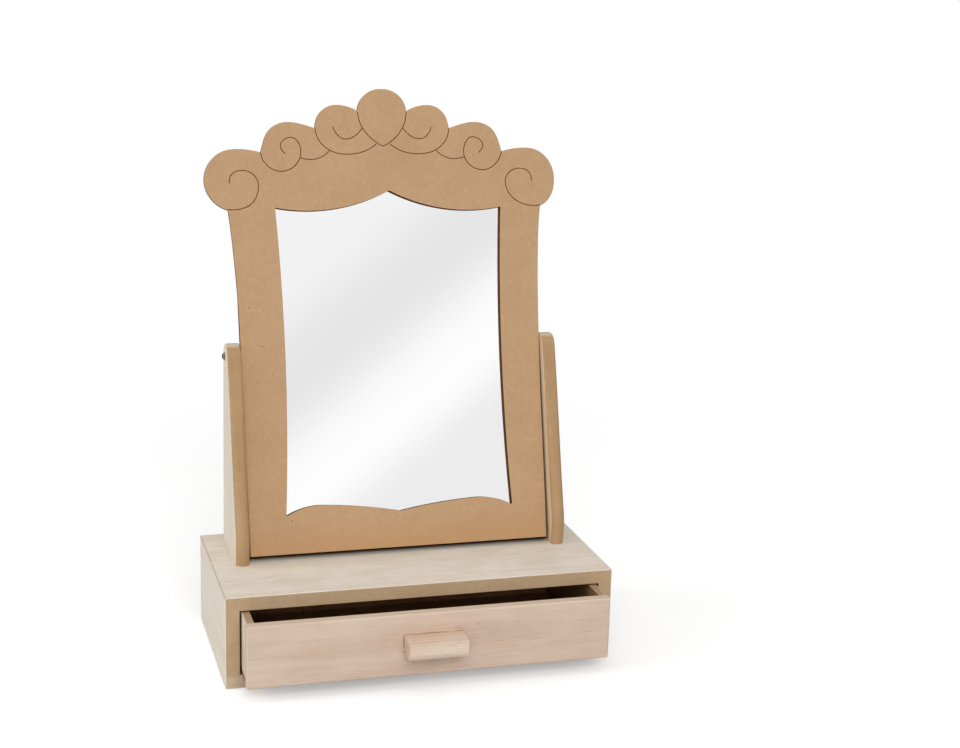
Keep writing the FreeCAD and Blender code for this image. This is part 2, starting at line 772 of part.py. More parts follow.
def core():
    """Four strips behind the fret board that box in the glass and the backing."""
    spots = {name: (x, height, "clip") for name, x, height, _, _ in clip_places()}
    wide = core_half - core_opening
    left = [spots["left_low"], spots["left_high"], (ZERO, size.pivot_height, "pivot")]
    right = [spots["right_low"], spots["right_high"], (ZERO, size.pivot_height, "pivot")]
    foot = -size.core_drop
    core_piece("stile_left", -core_half, foot, wide, core_height - foot, left)
    core_piece("stile_right", core_opening, foot, wide, core_height - foot, right)
    low = core_low_opening - foot
    core_piece("rail_bottom", -core_opening, foot, core_opening * 2, low, [spots["bottom"]])
    high = core_height - core_top_opening
    core_piece("rail_top", -core_opening, core_top_opening, core_opening * 2, high, [spots["top"]])


def glass_and_backing():
    for name, thick, depth in (
        ("mirror_glass", size.glass_thick, size.fret_thick),
        ("backing_board", size.backing_thick, size.fret_thick + size.glass_thick),
    ):
        plate = box(name, glass_half * 2, thick, glass_high - glass_low)
        place_on_mirror(plate, -glass_half, depth, glass_low)


def backing_clip(name, x, height, inward, upward):
    """Flat spring-steel clip with rounded corners, screwed to the core and lapping the backing."""
    if inward:
        long, high = size.clip_length, size.clip_width
    else:
        long, high = size.clip_width, size.clip_length
    from_screw = size.clip_length - size.clip_end
    start = {1: size.clip_end, -1: from_screw, 0: size.clip_width / 2}
    plate = box(name + "_plate", long, size.clip_thick, high)
    doc.recompute()
    corners = doc.addObject("Part::Fillet", name + "_corners")
    corners.Base = plate
    corners.Edges = [
        (number, size.clip_width.number * 0.3, size.clip_width.number * 0.3)
        for number, edge in enumerate(plate.Shape.Edges, start=1)
        if edge.BoundBox.YLength > 1e-4
    ]
    hole = cylinder(
        name + "_hole", size.clip_shank + size.screw_fit, size.clip_thick + 2,
        start[inward], ZERO - 1, start[upward], (1, 0, 0), -90,
    )
    item = cut(name, corners, [hole])
    return place_on_mirror(item, x - start[inward], size.fret_thick + core_thick, height - start[upward])


def screw(name, shank, reach, head, dome, point):
    """Screw along its own Z, its head's underside at 0 and its point down.

    A dome above 0 makes a round head; no dome makes a countersunk one that is flush at 0.
    """
    body = new_body(name)
    sketch = new_sketch(body, name + "_profile", "XZ_Plane")
    if dome is None:
        corners = [(ZERO, ZERO), (ZERO, -reach), (shank, point - reach), (shank, shank - head), (head, ZERO)]
        outline(sketch, corners)
        top = ZERO
    else:
        corners = [(ZERO, dome), (ZERO, -reach), (shank, point - reach), (shank, ZERO), (head, ZERO)]
        bulge = (head * head + dome * dome) / (dome * 2)
        outline(sketch, corners, {4: (bulge, 1)})
        top = dome
    turned = body.newObject("PartDesign::Revolution", name + "_turned")
    turned.Profile = sketch
    turned.ReferenceAxis = (sketch, ["V_Axis"])
    bind(turned, Angle=360)
    doc.recompute()
    arm = size.recess_arm
    long = head * size.recess_share
    cross = new_sketch(body, name + "_cross", "XY_Plane")
    cross.setExpression("AttachmentOffset.Base.z", top.text)
    outline(cross, [
        (arm, arm), (long, arm), (long, -arm), (arm, -arm), (arm, -long), (-arm, -long),
        (-arm, -arm), (-long, -arm), (-long, arm), (-arm, arm), (-arm, long), (arm, long),
    ])
    pocket(body, cross, size.recess_depth)
    return body


def post_screws():
    spots = zip(("left_front", "left_back", "right_front", "right_back"), post_screw_places(ZERO))
    for label, (x, y) in spots:
        item = screw(
            f"post_screw_{label}", size.post_shank, size.post_screw_length, size.post_screw_head, None,
            size.post_shank * 2,
        )
        place(item, x, y, bay_top, (1, 0, 0), 180)


def clips():
    for label, x, height, inward, upward in clip_places():
        backing_clip(f"clip_{label}", x, height, inward, upward)
        item = screw(
            f"clip_screw_{label}", size.clip_shank, size.clip_screw_reach + size.clip_thick,
            size.clip_screw_head, size.clip_screw_dome, size.clip_shank,
        )
        depth = size.fret_thick + core_thick + size.clip_thick
        place_on_mirror(item, x, depth, height)
        item.setExpression("Placement.Rotation.Angle", (-90 - size.tilt).text)


def pivots():
    """Screws through the posts into the stiles, with a washer between post and stile."""
    for label, sign in (("left", -1), ("right", 1)):
        seat = post_outside + size.head_gap
        reach = seat - core_half + size.pivot_reach
        item = screw(
            f"pivot_screw_{label}", size.pivot_shank, reach, size.pivot_head, size.pivot_dome,
            size.pivot_shank,
        )
        place(item, seat * sign, pivot_y, pivot_z, (0, 1, 0), 90 * sign)
        thick = size.side_gap - size.washer_gap
        name = f"washer_{label}"
        rim = core_thick / 2 - size.washer_inset
        disc = cylinder(name + "_disc", rim, thick, ZERO, ZERO, ZERO)
        eye = cylinder(name + "_eye", size.pivot_shank + size.screw_fit, thick + 2, ZERO, ZERO, ZERO - 1)
        place(cut(name, disc, [eye]), core_half * sign, pivot_y, pivot_z, (0, 1, 0), 90 * sign)


# ---------------------------------------------------------------- drawer


def drawer_front():
    """Front board, eased round its face and drilled for the pull."""
    body = new_body("drawer_front")
    wide = (case_inside - size.front_side_gap) * 2
    sketch = new_sketch(body, "drawer_front_profile", "XZ_Plane")
    outline(sketch, rectangle(wide, drawer_height))
    base = pad(body, sketch, size.drawer_front, reverse=True)

    def on_face(edge):
        return near(edge.YMin, 0) and near(edge.YMax, 0)

    round_edges(body, base, on_face, size.drawer_arris, "drawer_front_ease")
    middle = size.pull_rise + size.pull_height / 2
    places = [(wide / 2 - size.pull_screw_spread, middle), (wide / 2 + size.pull_screw_spread, middle)]
    holes = new_sketch(body, "drawer_front_holes", "XZ_Plane")
    circles(holes, places, size.pull_shank + size.screw_fit)
    pocket(body, holes)
    return place(body, -(wide / 2), drawer_front_y, drawer_bottom_z)


def drawer_walls():
    """Two sides and a back that stand on the bottom panel."""
    start = drawer_front_y + size.drawer_front
    deep = drawer_length - size.drawer_front
    high = drawer_height - size.drawer_floor
    rise = drawer_bottom_z + size.drawer_floor
    place(box("drawer_side_left", size.drawer_wall, deep, high), -drawer_half, start, rise)
    inside = drawer_half - size.drawer_wall
    place(box("drawer_side_right", size.drawer_wall, deep, high), inside, start, rise)
    wide = inside * 2
    end = drawer_front_y + drawer_length - size.drawer_wall
    place(box("drawer_back", wide, size.drawer_wall, high), -(wide / 2), end, rise)
    place(box("drawer_bottom", drawer_half * 2, deep, size.drawer_floor), -drawer_half, start, drawer_bottom_z)


def pull():
    """Solid block whose lower front falls back in a soft curve, bored for its screws."""
    body = new_body("pull")
    sketch = new_sketch(body, "pull_profile", "YZ_Plane")
    ease = size.pull_ease_back
    up = size.pull_ease_up
    deep = size.pull_depth
    high = size.pull_height
    corners = [(ZERO, up), (ease, ZERO), (deep, ZERO), (deep, high), (ZERO, high)]
    outline(sketch, corners, {0: ((ease * ease + up * up) / (ease * 2) * 1.15, 1)})
    pad(body, sketch, size.pull_width)
    holes = new_sketch(body, "pull_holes", "XZ_Plane")
    holes.setExpression("AttachmentOffset.Base.z", (-size.pull_depth).text)
    middle = size.pull_height / 2
    across = size.pull_width / 2
    places = [(across - size.pull_screw_spread, middle), (across + size.pull_screw_spread, middle)]
    circles(holes, places, size.pull_shank + size.screw_fit)
    pocket(body, holes, size.pull_screw_reach + 0.5, reverse=True)
    rise = drawer_bottom_z + size.pull_rise
    return place(body, -(size.pull_width / 2), drawer_front_y - deep, rise)


def pull_screws():
    for label, sign in (("left", -1), ("right", 1)):
        item = screw(
            f"pull_screw_{label}", size.pull_shank, size.drawer_front + size.pull_screw_reach,
            size.pull_screw_head, size.pull_screw_dome, size.pull_shank,
        )
        rise = drawer_bottom_z + size.pull_rise + size.pull_height / 2
        place(item, size.pull_screw_spread * sign, drawer_front_y + size.drawer_front, rise, (1, 0, 0), -90)


# ---------------------------------------------------------------- build and write


def build_all():
    case_top()
    case_bottom()
    case_left()
    case_right()
    case_back()
    post("post_left", -post_outside)
    post("post_right", post_inside)
    post_screws()
    fret_board()
    core()
    glass_and_backing()
    clips()
    pivots()
    drawer_front()
    drawer_walls()
    pull()
    pull_screws()
    doc.recompute()


NODES = (
    ["case_top", "case_bottom", "case_left", "case_right", "case_back", "post_left", "post_right"]
    + [f"post_screw_{side}_{end}" for side in ("left", "right") for end in ("front", "back")]
    + ["fret_board", "stile_left", "stile_right", "rail_bottom", "rail_top", "mirror_glass", "backing_board"]
    + [f"{kind}_{spot}" for kind in ("clip", "clip_screw")
       for spot in ("left_low", "left_high", "right_low", "right_high", "top", "bottom")]
    + ["pivot_screw_left", "pivot_screw_right", "washer_left", "washer_right"]
    + ["drawer_front", "drawer_side_left", "drawer_side_right", "drawer_back", "drawer_bottom"]
    + ["pull", "pull_screw_left", "pull_screw_right"]
)


def check_and_write():
    """Stop on any failed object or bad shape, then write one file for each piece."""
    failed = [item.Name for item in doc.Objects if "Invalid" in item.State or "Error" in item.State]
    if failed:
        raise RuntimeError(f"failed objects: {failed}")
    shapes = {}
    for name in NODES:
        found = [item for item in doc.Objects if item.Label == name]
        if len(found) != 1:
            raise RuntimeError(f"{name}: {len(found)} objects carry this label")
        shape = found[0].Shape
        if shape.isNull() or not shape.isValid() or len(shape.Solids) != 1:
            raise RuntimeError(f"{name}: bad shape")
        shapes[name] = shape
    os.makedirs("parts", exist_ok=True)
    for name, shape in shapes.items():
        shape.exportStep(f"parts/{name}.step")
        print(f"{name}: {shape.Volume:.1f} mm3")


build_all()
check_and_write()
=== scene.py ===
"""Vanity mirror with drawer: finishes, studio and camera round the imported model."""

import logging
import math
from collections.abc import Iterable, Mapping, Sequence
from dataclasses import dataclass, replace
from enum import Enum
from typing import Any

import bmesh
import bpy
from mathutils import Matrix, Vector

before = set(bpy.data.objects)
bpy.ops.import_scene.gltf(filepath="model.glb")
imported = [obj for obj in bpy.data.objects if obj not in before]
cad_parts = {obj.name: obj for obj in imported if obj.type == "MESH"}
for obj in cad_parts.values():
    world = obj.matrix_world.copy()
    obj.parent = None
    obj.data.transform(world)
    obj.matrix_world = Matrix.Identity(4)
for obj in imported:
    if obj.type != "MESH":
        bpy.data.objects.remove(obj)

LOG = logging.getLogger("vanity_mirror")
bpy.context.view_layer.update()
MM = 0.001

Span = tuple[float, float]
Triple = tuple[float, float, float]
Tone = tuple[float, float, float, float]
Socket = bpy.types.NodeSocket

# The curve between a display colour and a linear one.
FULL_TONE = 255
TOE_END = 0.04045
TOE_SLOPE = 12.92
CURVE_LIFT = 0.055
CURVE_POWER = 2.4

# A random cloud swings about this level.
MIDDLE = 0.5
# How far a cloud's shift moves it along each axis.
SHIFT_STEPS = (1.0, 1.7, 2.3)
# Specular level of wood and fibre, and of metal.
DULL_GLOSS = 0.08
METAL_GLOSS = 0.5
WHITE: Tone = (1.0, 1.0, 1.0, 1.0)


def tone(red: float, green: float, blue: float) -> Tone:
    """Turns a display colour into the linear colour that a shader takes.

    Args:
        red: Red, 0 to 255.
        green: Green, 0 to 255.
        blue: Blue, 0 to 255.

    Returns:
        Linear red, green, blue and an alpha of 1.
    """
    linear = []
    for part in (red, green, blue):
        share = part / FULL_TONE
        curve = ((share + CURVE_LIFT) / (1 + CURVE_LIFT)) ** CURVE_POWER
        linear.append(share / TOE_SLOPE if share <= TOE_END else curve)
    return (linear[0], linear[1], linear[2], 1.0)


def neutral(level: float) -> Tone:
    """The linear colour of a plain grey or white."""
    return (level, level, level, 1.0)


def even(size: float) -> Triple:
    """The same size along all three axes."""
    return (size, size, size)


# ---------------------------------------------------------------- shader tools


class Value:
    """A number that varies over a surface. Using it in an expression adds Math nodes."""

    def __init__(self, graph: "Graph", socket: Socket) -> None:
        """Keeps the output socket that gives the number, and the graph that it is in."""
        self.graph = graph
        self.socket = socket

    def __add__(self, other: "Value | float") -> "Value":
        """Sum."""
        return self.graph.math("ADD", self, other)

    def __radd__(self, other: float) -> "Value":
        """Sum, number first."""
        return self.graph.math("ADD", other, self)

    def __sub__(self, other: "Value | float") -> "Value":
        """Difference."""
        return self.graph.math("SUBTRACT", self, other)

    def __rsub__(self, other: float) -> "Value":
        """Difference, number first."""
        return self.graph.math("SUBTRACT", other, self)

    def __mul__(self, other: "Value | float") -> "Value":
        """Product."""
        return self.graph.math("MULTIPLY", self, other)

    def __rmul__(self, other: float) -> "Value":
        """Product, number first."""
        return self.graph.math("MULTIPLY", other, self)

    def __truediv__(self, other: "Value | float") -> "Value":
        """Quotient."""
        return self.graph.math("DIVIDE", self, other)

    def __rtruediv__(self, other: float) -> "Value":
        """Quotient, number first."""
        return self.graph.math("DIVIDE", other, self)

    def __abs__(self) -> "Value":
        """Size without its sign."""
        return self.graph.math("ABSOLUTE", self)

    def least(self, other: "Value | float") -> "Value":
        """The smaller of two numbers."""
        return self.graph.math("MINIMUM", self, other)

    def most(self, other: "Value | float") -> "Value":
        """The larger of two numbers."""
        return self.graph.math("MAXIMUM", self, other)

    def above(self, low: float, high: float) -> "Value":
        """Rises softly from 0 to 1 between two levels.

        Args:
            low: Level where it starts to rise.
            high: Level where it reaches 1.

        Returns:
            The share, 0 to 1.
        """
        node = self.graph.add(
            "ShaderNodeMapRange",
            {"interpolation_type": "SMOOTHSTEP", "clamp": True},
            {"Value": self, "From Min": low, "From Max": high},
        )
        return Value(self.graph, node.outputs["Result"])

    def below(self, low: float, high: float) -> "Value":
        """Falls softly from 1 at the low level to 0 at the high one."""
        return 1 - self.above(low, high)


Feed = Value | Socket | float | Sequence[float]


@dataclass(frozen=True)
class Cloud:
    """A soft random pattern: the size of its clouds along each axis, and how they break up."""

    size: Triple
    detail: float = 2.0
    rough: float = 0.5
    warp: float = 0.0
    shift: float = 0.0


class Graph:
    """A material's or a world's node graph."""

    def __init__(self, tree: bpy.types.NodeTree) -> None:
        """Empties a node tree to build in."""
        self.tree = tree
        tree.nodes.clear()

    def add(
        self,
        kind: str,
        settings: Mapping[str, Any] | None = None,
        sockets: Mapping[str | int, Feed] | None = None,
    ) -> bpy.types.Node:
        """Adds a node.

        Args:
            kind: Blender's type name of the node.
            settings: Its settings, set first. "stops" holds a ramp's places and colours.
            sockets: A value or a link for each input, by name or number.

        Returns:
            The node.
        """
        node = self.tree.nodes.new(kind)
        for name, value in (settings or {}).items():
            if name == "stops":
                self._set_stops(node, value)
            else:
                setattr(node, name, value)
        for key, value in (sockets or {}).items():
            if isinstance(value, Value):
                value = value.socket
            if isinstance(value, Socket):
                self.tree.links.new(value, node.inputs[key])
            else:
                node.inputs[key].default_value = value
        return node

    @staticmethod
    def _set_stops(node: bpy.types.Node, stops: Sequence[tuple[float, Tone]]) -> None:
        """Gives a colour ramp its stops.

        Args:
            node: The ramp.
            stops: Place and colour of each, in order.
        """
        elements = node.color_ramp.elements
        while len(elements) < len(stops):
            elements.new(1.0)
        for element, (place, colour) in zip(elements, stops):
            element.position = place
            element.color = colour

    def math(self, operation: str, *numbers: Value | float) -> Value:
        """Adds a Math node that works on the numbers, and gives its result."""
        node = self.add("ShaderNodeMath", {"operation": operation}, dict(enumerate(numbers)))
        return Value(self, node.outputs[0])

    def reach(self, aside: Value, above: Value) -> Value:
        """Distance from a line, worked out from the two offsets across it."""
        return self.math("SQRT", aside * aside + above * above)

    def blend(
        self, share: Value | float, first: Feed, second: Feed, way: str = "MIX"
    ) -> Socket:
        """Mixes two colours, or lays the second on in another way, as far as the share says."""
        settings = {"data_type": "RGBA", "blend_type": way, "clamp_factor": True}
        return self.add("ShaderNodeMix", settings, {0: share, 6: first, 7: second}).outputs[2]

    def mix(self, share: Value, first: bpy.types.Node, second: bpy.types.Node) -> bpy.types.Node:
        """Mixes two shaders: the first where the share is 0, the second where it is 1."""
        sockets = {0: share, 1: first.outputs[0], 2: second.outputs[0]}
        return self.add("ShaderNodeMixShader", None, sockets)

    def here(self, turn: Triple = (0.0, 0.0, 0.0), shift: Triple = (0.0, 0.0, 0.0)) -> Socket:
        """The place on the object, in metres, turned and shifted by one Mapping node.

        Args:
            turn: Turn about each axis, in radians.
            shift: Shift after the turn, in metres.

        Returns:
            The vector socket.
        """
        place = self.add("ShaderNodeTexCoord").outputs["Object"]
        if not any(turn) and not any(shift):
            return place
        sockets = {"Vector": place, "Rotation": turn, "Location": shift}
        return self.add("ShaderNodeMapping", {"vector_type": "POINT"}, sockets).outputs["Vector"]

    def turned(self, place: Socket, degrees: float) -> Socket:
        """Turns a place about its Y axis.

        Args:
            place: The vector socket.
            degrees: The turn.

        Returns:
            The turned vector socket.
        """
        settings = {"rotation_type": "Y_AXIS"}
        sockets = {"Vector": place, "Angle": math.radians(degrees)}
        return self.add("ShaderNodeVectorRotate", settings, sockets).outputs[0]

    def axes(self, place: Socket) -> tuple[Value, Value, Value]:
        """Splits a place into its X, Y and Z."""
        x, y, z = self.add("ShaderNodeSeparateXYZ", None, {0: place}).outputs
        return (Value(self, x), Value(self, y), Value(self, z))

    def noise(self, place: Socket, cloud: Cloud, shift: float = 0.0) -> Value:
        """Adds a soft random cloud.

        Args:
            place: Where on the object.
            cloud: Its size and how it breaks up.
            shift: Moves it, so that two pieces differ.

        Returns:
            The number, about 0.5 in the middle.
        """
        offset = shift + cloud.shift
        scale = tuple(1 / size for size in cloud.size)
        moved = tuple(offset * step for step in SHIFT_STEPS)
        settings = {"operation": "MULTIPLY_ADD"}
        scaled = self.add("ShaderNodeVectorMath", settings, {0: place, 1: scale, 2: moved})
        node = self.add(
            "ShaderNodeTexNoise",
            {"noise_dimensions": "3D", "normalize": True},
            {
                "Vector": scaled.outputs[0],
                "Scale": 1.0,
                "Detail": cloud.detail,
                "Roughness": cloud.rough,
                "Distortion": cloud.warp,
            },
        )
        return Value(self, node.outputs[0])


@dataclass
class Layer:
    """What a pattern says at each point: its colour, its height as a share and its roughness."""

    colour: Socket
    height: Value
    rough: Value

    def lay(self, graph: Graph, share: Value, colour: Feed, way: str = "MIX") -> None:
        """Lays a colour over the pattern's own, as far as the share says."""
        self.colour = graph.blend(share, self.colour, colour, way)


def over(graph: Graph, share: Value, under: Layer, top: Layer) -> Layer:
    """Lays one pattern over another.

    Args:
        graph: The node graph.
        share: How much of the top one shows, 0 to 1.
        under: The pattern underneath.
        top: The pattern on top.

    Returns:
        The two together.
    """
    return Layer(
        graph.blend(share, under.colour, top.colour),
        under.height * (1 - share) + top.height * share,
        under.rough * (1 - share) + top.rough * share,
    )


def new_material(name: str) -> tuple[bpy.types.Material, Graph]:
    """Starts an empty material.

    Args:
        name: Its name.

    Returns:
        The material and its graph.
    """
    material = bpy.data.materials.new(name)
    material.use_nodes = True
    return material, Graph(material.node_tree)


def close_material(
    graph: Graph, layer: Layer, relief: float, gloss: float = DULL_GLOSS, metallic: float = 0.0
) -> None:
    """Feeds a pattern to the shader and the output.

    Args:
        graph: The material's graph.
        layer: The pattern.
        relief: Depth of its relief, in metres.
        gloss: Its specular level.
        metallic: 1 for metal and 0 for the rest.
    """
    sockets = {"Strength": 1.0, "Distance": relief, "Height": layer.height}
    bump = graph.add("ShaderNodeBump", None, sockets)
    shader = graph.add(
        "ShaderNodeBsdfPrincipled",
        None,
        {
            "Base Color": layer.colour,
            "Roughness": layer.rough,
            "Normal": bump.outputs[0],
            "Specular IOR Level": gloss,
            "Metallic": metallic,
        },
    )
    graph.add("ShaderNodeOutputMaterial", None, {"Surface": shader.outputs[0]})


# ---------------------------------------------------------------- patterns


# Clouds of wood, long on their first axis, which is laid along the grain.
FIGURE = Cloud((120 * MM, 9 * MM, 9 * MM), detail=3, rough=0.55, warp=0.6)
FINE_LINES = Cloud((45 * MM, 0.9 * MM, 0.9 * MM), detail=3, rough=0.6, warp=0.15, shift=3.0)
OPEN_PORES = Cloud((9 * MM, 0.45 * MM, 0.45 * MM), detail=1, shift=7.0)
WOOD_MOTTLE = Cloud((26 * MM, 14 * MM, 14 * MM), shift=11.0)

# Clouds of pressed fibre, from the widest to the finest, its strands and its bark.
FIBRE_WIDE = Cloud(even(30 * MM))
FIBRE_MOTTLE = Cloud(even(4 * MM), detail=3, rough=0.6, shift=2.0)
FIBRE_GRIT = Cloud(even(0.5 * MM), rough=0.6, shift=5.0)
FIBRE_STRAND = Cloud((3.2 * MM, 0.4 * MM, 0.28 * MM), detail=1, warp=0.3)
BARK_SPOT = Cloud((0.9 * MM, 0.9 * MM, 0.7 * MM), detail=0, shift=41.0)
BARK_PATCH = Cloud(even(9 * MM), detail=0, shift=47.0)


class Run(Enum):
    """Which way the grain of a board runs."""

    ALONG_X = 0
    ALONG_Y = 1
    ALONG_Z = 2


@dataclass(frozen=True)
class WoodGrain:
    """Sliced or sawn wood: soft figure, fine lines and short open pores along the grain."""

    pale: Tone
    dark: Tone
    pore: Tone
    run: Run
    figure: float = 0.5
    lines: float = 0.5
    pores: float = 0.5
    mottle: float = 0.5
    shift: float = 0.0
    figure_pull: float = 3.2
    line_pull: float = 2.4
    pore_level: Span = (0.62, 0.72)
    pore_band: Span = (0.36, 0.60)
    rise: float = 0.6
    line_rise: float = 0.5
    pore_drop: float = 0.6
    rough: float = 0.62
    line_rough: float = 0.25
    pore_rough: float = 0.12

    def laid(self, cloud: Cloud) -> Cloud:
        """Turns a cloud's long axis along the grain.

        Args:
            cloud: The cloud, long on its first axis.

        Returns:
            The turned cloud.
        """
        along, across, _ = cloud.size
        size = [across, across, across]
        size[self.run.value] = along
        return replace(cloud, size=(size[0], size[1], size[2]))

    def layer(self, graph: Graph, place: Socket) -> Layer:
        """Builds the pattern.

        Args:
            graph: The material's graph.
            place: Where on the object.

        Returns:
            The pattern.
        """
        broad, fine, dash, cloud = (
            graph.noise(place, self.laid(kind), self.shift)
            for kind in (FIGURE, FINE_LINES, OPEN_PORES, WOOD_MOTTLE)
        )
        streak = (broad - MIDDLE) * (self.figure_pull * self.figure)
        streak = streak + (fine - MIDDLE) * (self.line_pull * self.lines) + MIDDLE
        streak = (streak + (cloud - MIDDLE) * self.mottle).above(0.0, 1.0)
        open_pore = dash.above(*self.pore_level) * broad.above(*self.pore_band) * self.pores
        colour = graph.blend(streak, self.pale, self.dark)
        colour = graph.blend(open_pore, colour, self.pore)
        height = self.rise + (fine - MIDDLE) * self.line_rise - open_pore * self.pore_drop
        rough = self.rough + (fine - MIDDLE) * self.line_rough + open_pore * self.pore_rough
        return Layer(colour, height, rough)


@dataclass(frozen=True)
class PressedFibre:
    """Pressed wood fibre: cloudy ground, pale and dark fibres at several angles, bark specks."""

    ground: Tone
    cloud: Tone
    pale: Tone
    dark: Tone
    speck: Tone
    fibre: float = 0.35
    shift: float = 0.0
    angles: tuple[float, ...] = (12.0, 74.0, 131.0)
    strand_step: float = 13.0
    wide_pull: float = 1.6
    mottle_pull: float = 1.7
    grit_pull: float = 0.6
    pale_level: Span = (0.66, 0.74)
    dark_level: Span = (0.27, 0.34)
    bark_level: Span = (0.80, 0.84)
    bark_patch: Span = (0.58, 0.68)
    bark_share: float = 0.8
    grit_rise: float = 0.6
    pale_rise: float = 0.25
    dark_drop: float = 0.3
    rough: float = 0.74
    grit_rough: float = 0.2

    def layer(self, graph: Graph, place: Socket) -> Layer:
        """Builds the pattern. The sheet lies across the place's Y axis.

        Args:
            graph: The material's graph.
            place: Where on the object.

        Returns:
            The pattern.
        """
        wide, mottle, grit, spot, patch = (
            graph.noise(place, kind, self.shift)
            for kind in (FIBRE_WIDE, FIBRE_MOTTLE, FIBRE_GRIT, BARK_SPOT, BARK_PATCH)
        )
        cloudy = (wide - MIDDLE) * self.wide_pull + (mottle - MIDDLE) * self.mottle_pull
        cloudy = (cloudy + (grit - MIDDLE) * self.grit_pull + MIDDLE).above(0.0, 1.0)
        colour = graph.blend(cloudy, self.ground, self.cloud)
        height = MIDDLE + (grit - MIDDLE) * self.grit_rise
        for number, angle in enumerate(self.angles):
            lay = graph.turned(place, angle)
            strand = graph.noise(lay, FIBRE_STRAND, self.shift + self.strand_step * number)
            light = strand.above(*self.pale_level) * self.fibre
            deep = strand.below(*self.dark_level) * self.fibre
            colour = graph.blend(light, colour, self.pale)
            colour = graph.blend(deep, colour, self.dark)
            height = height + light * self.pale_rise - deep * self.dark_drop
        bark = spot.above(*self.bark_level) * patch.above(*self.bark_patch)
        colour = graph.blend(bark * self.bark_share, colour, self.speck)
        return Layer(colour, height, self.rough + (grit - MIDDLE) * self.grit_rough)


# ---------------------------------------------------------------- finishes


FIBRE = PressedFibre(
    ground=tone(182, 149, 114),
    cloud=tone(176, 143, 108),
    pale=tone(208, 178, 145),
    dark=tone(156, 119, 84),
    speck=tone(92, 62, 40),
)
EDGE_FIBRE = PressedFibre(
    ground=tone(182, 156, 126),
    cloud=tone(174, 147, 116),
    pale=tone(204, 178, 147),
    dark=tone(158, 126, 92),
    speck=tone(110, 80, 55),
    fibre=0.25,
    shift=5.0,
)
POST_FIBRE = PressedFibre(
    ground=tone(171, 140, 105),
    cloud=tone(164, 132, 97),
    pale=tone(185, 156, 120),
    dark=tone(147, 115, 81),
    speck=tone(110, 80, 55),
    fibre=0.25,
    shift=15.0,
)
BOX_FIBRE = PressedFibre(
    ground=tone(168, 143, 114),
    cloud=tone(157, 131, 101),
    pale=tone(184, 158, 128),
    dark=tone(132, 104, 76),
    speck=tone(98, 72, 50),
    fibre=0.3,
    shift=21.0,
)
HARDBOARD = PressedFibre(
    ground=tone(140, 104, 72),
    cloud=tone(124, 90, 62),
    pale=tone(150, 116, 84),
    dark=tone(78, 52, 34),
    speck=tone(48, 32, 22),
    fibre=0.5,
    shift=9.0,
)

PALE_FLECK = Cloud((2.4 * MM, 0.6 * MM, 0.34 * MM), detail=0, shift=61.0)
SCORCH_BAND = Cloud((2.5 * MM, 0.6 * MM, 2.5 * MM), rough=0.6, shift=3.0)
UNEVEN_JOINT = Cloud(even(5 * MM), detail=1)
WIPE_MARKS = Cloud((70 * MM, 20 * MM, 6 * MM), warp=0.4)
METAL_CLOUD = Cloud(even(1.6 * MM), detail=3, rough=0.6)
ROLLING_LINES = Cloud((6 * MM, 0.12 * MM, 0.12 * MM))


@dataclass(frozen=True)
class BoardFace:
    """Where the tilted board lies, so that a pattern can follow its face, depth and height."""

    lean: float = math.radians(15.6)
    shift: Triple = (0.0, 0.018101, -0.060979)

    def place(self, graph: Graph) -> Socket:
        """The place in the board's own terms: X, depth behind its face, height up it."""
        return graph.here((self.lean, 0.0, 0.0), self.shift)


@dataclass(frozen=True)
class Finish:
    """A procedural material, built from its name and its sizes."""

    name: str

    def make(self) -> bpy.types.Material:
        """Makes the material.

        Returns:
            The material.
        """
        material, graph = new_material(self.name)
        self.build(graph)
        return material

    def build(self, graph: Graph) -> None:
        """Builds the nodes, which each kind of finish does in its own way."""
        raise NotImplementedError


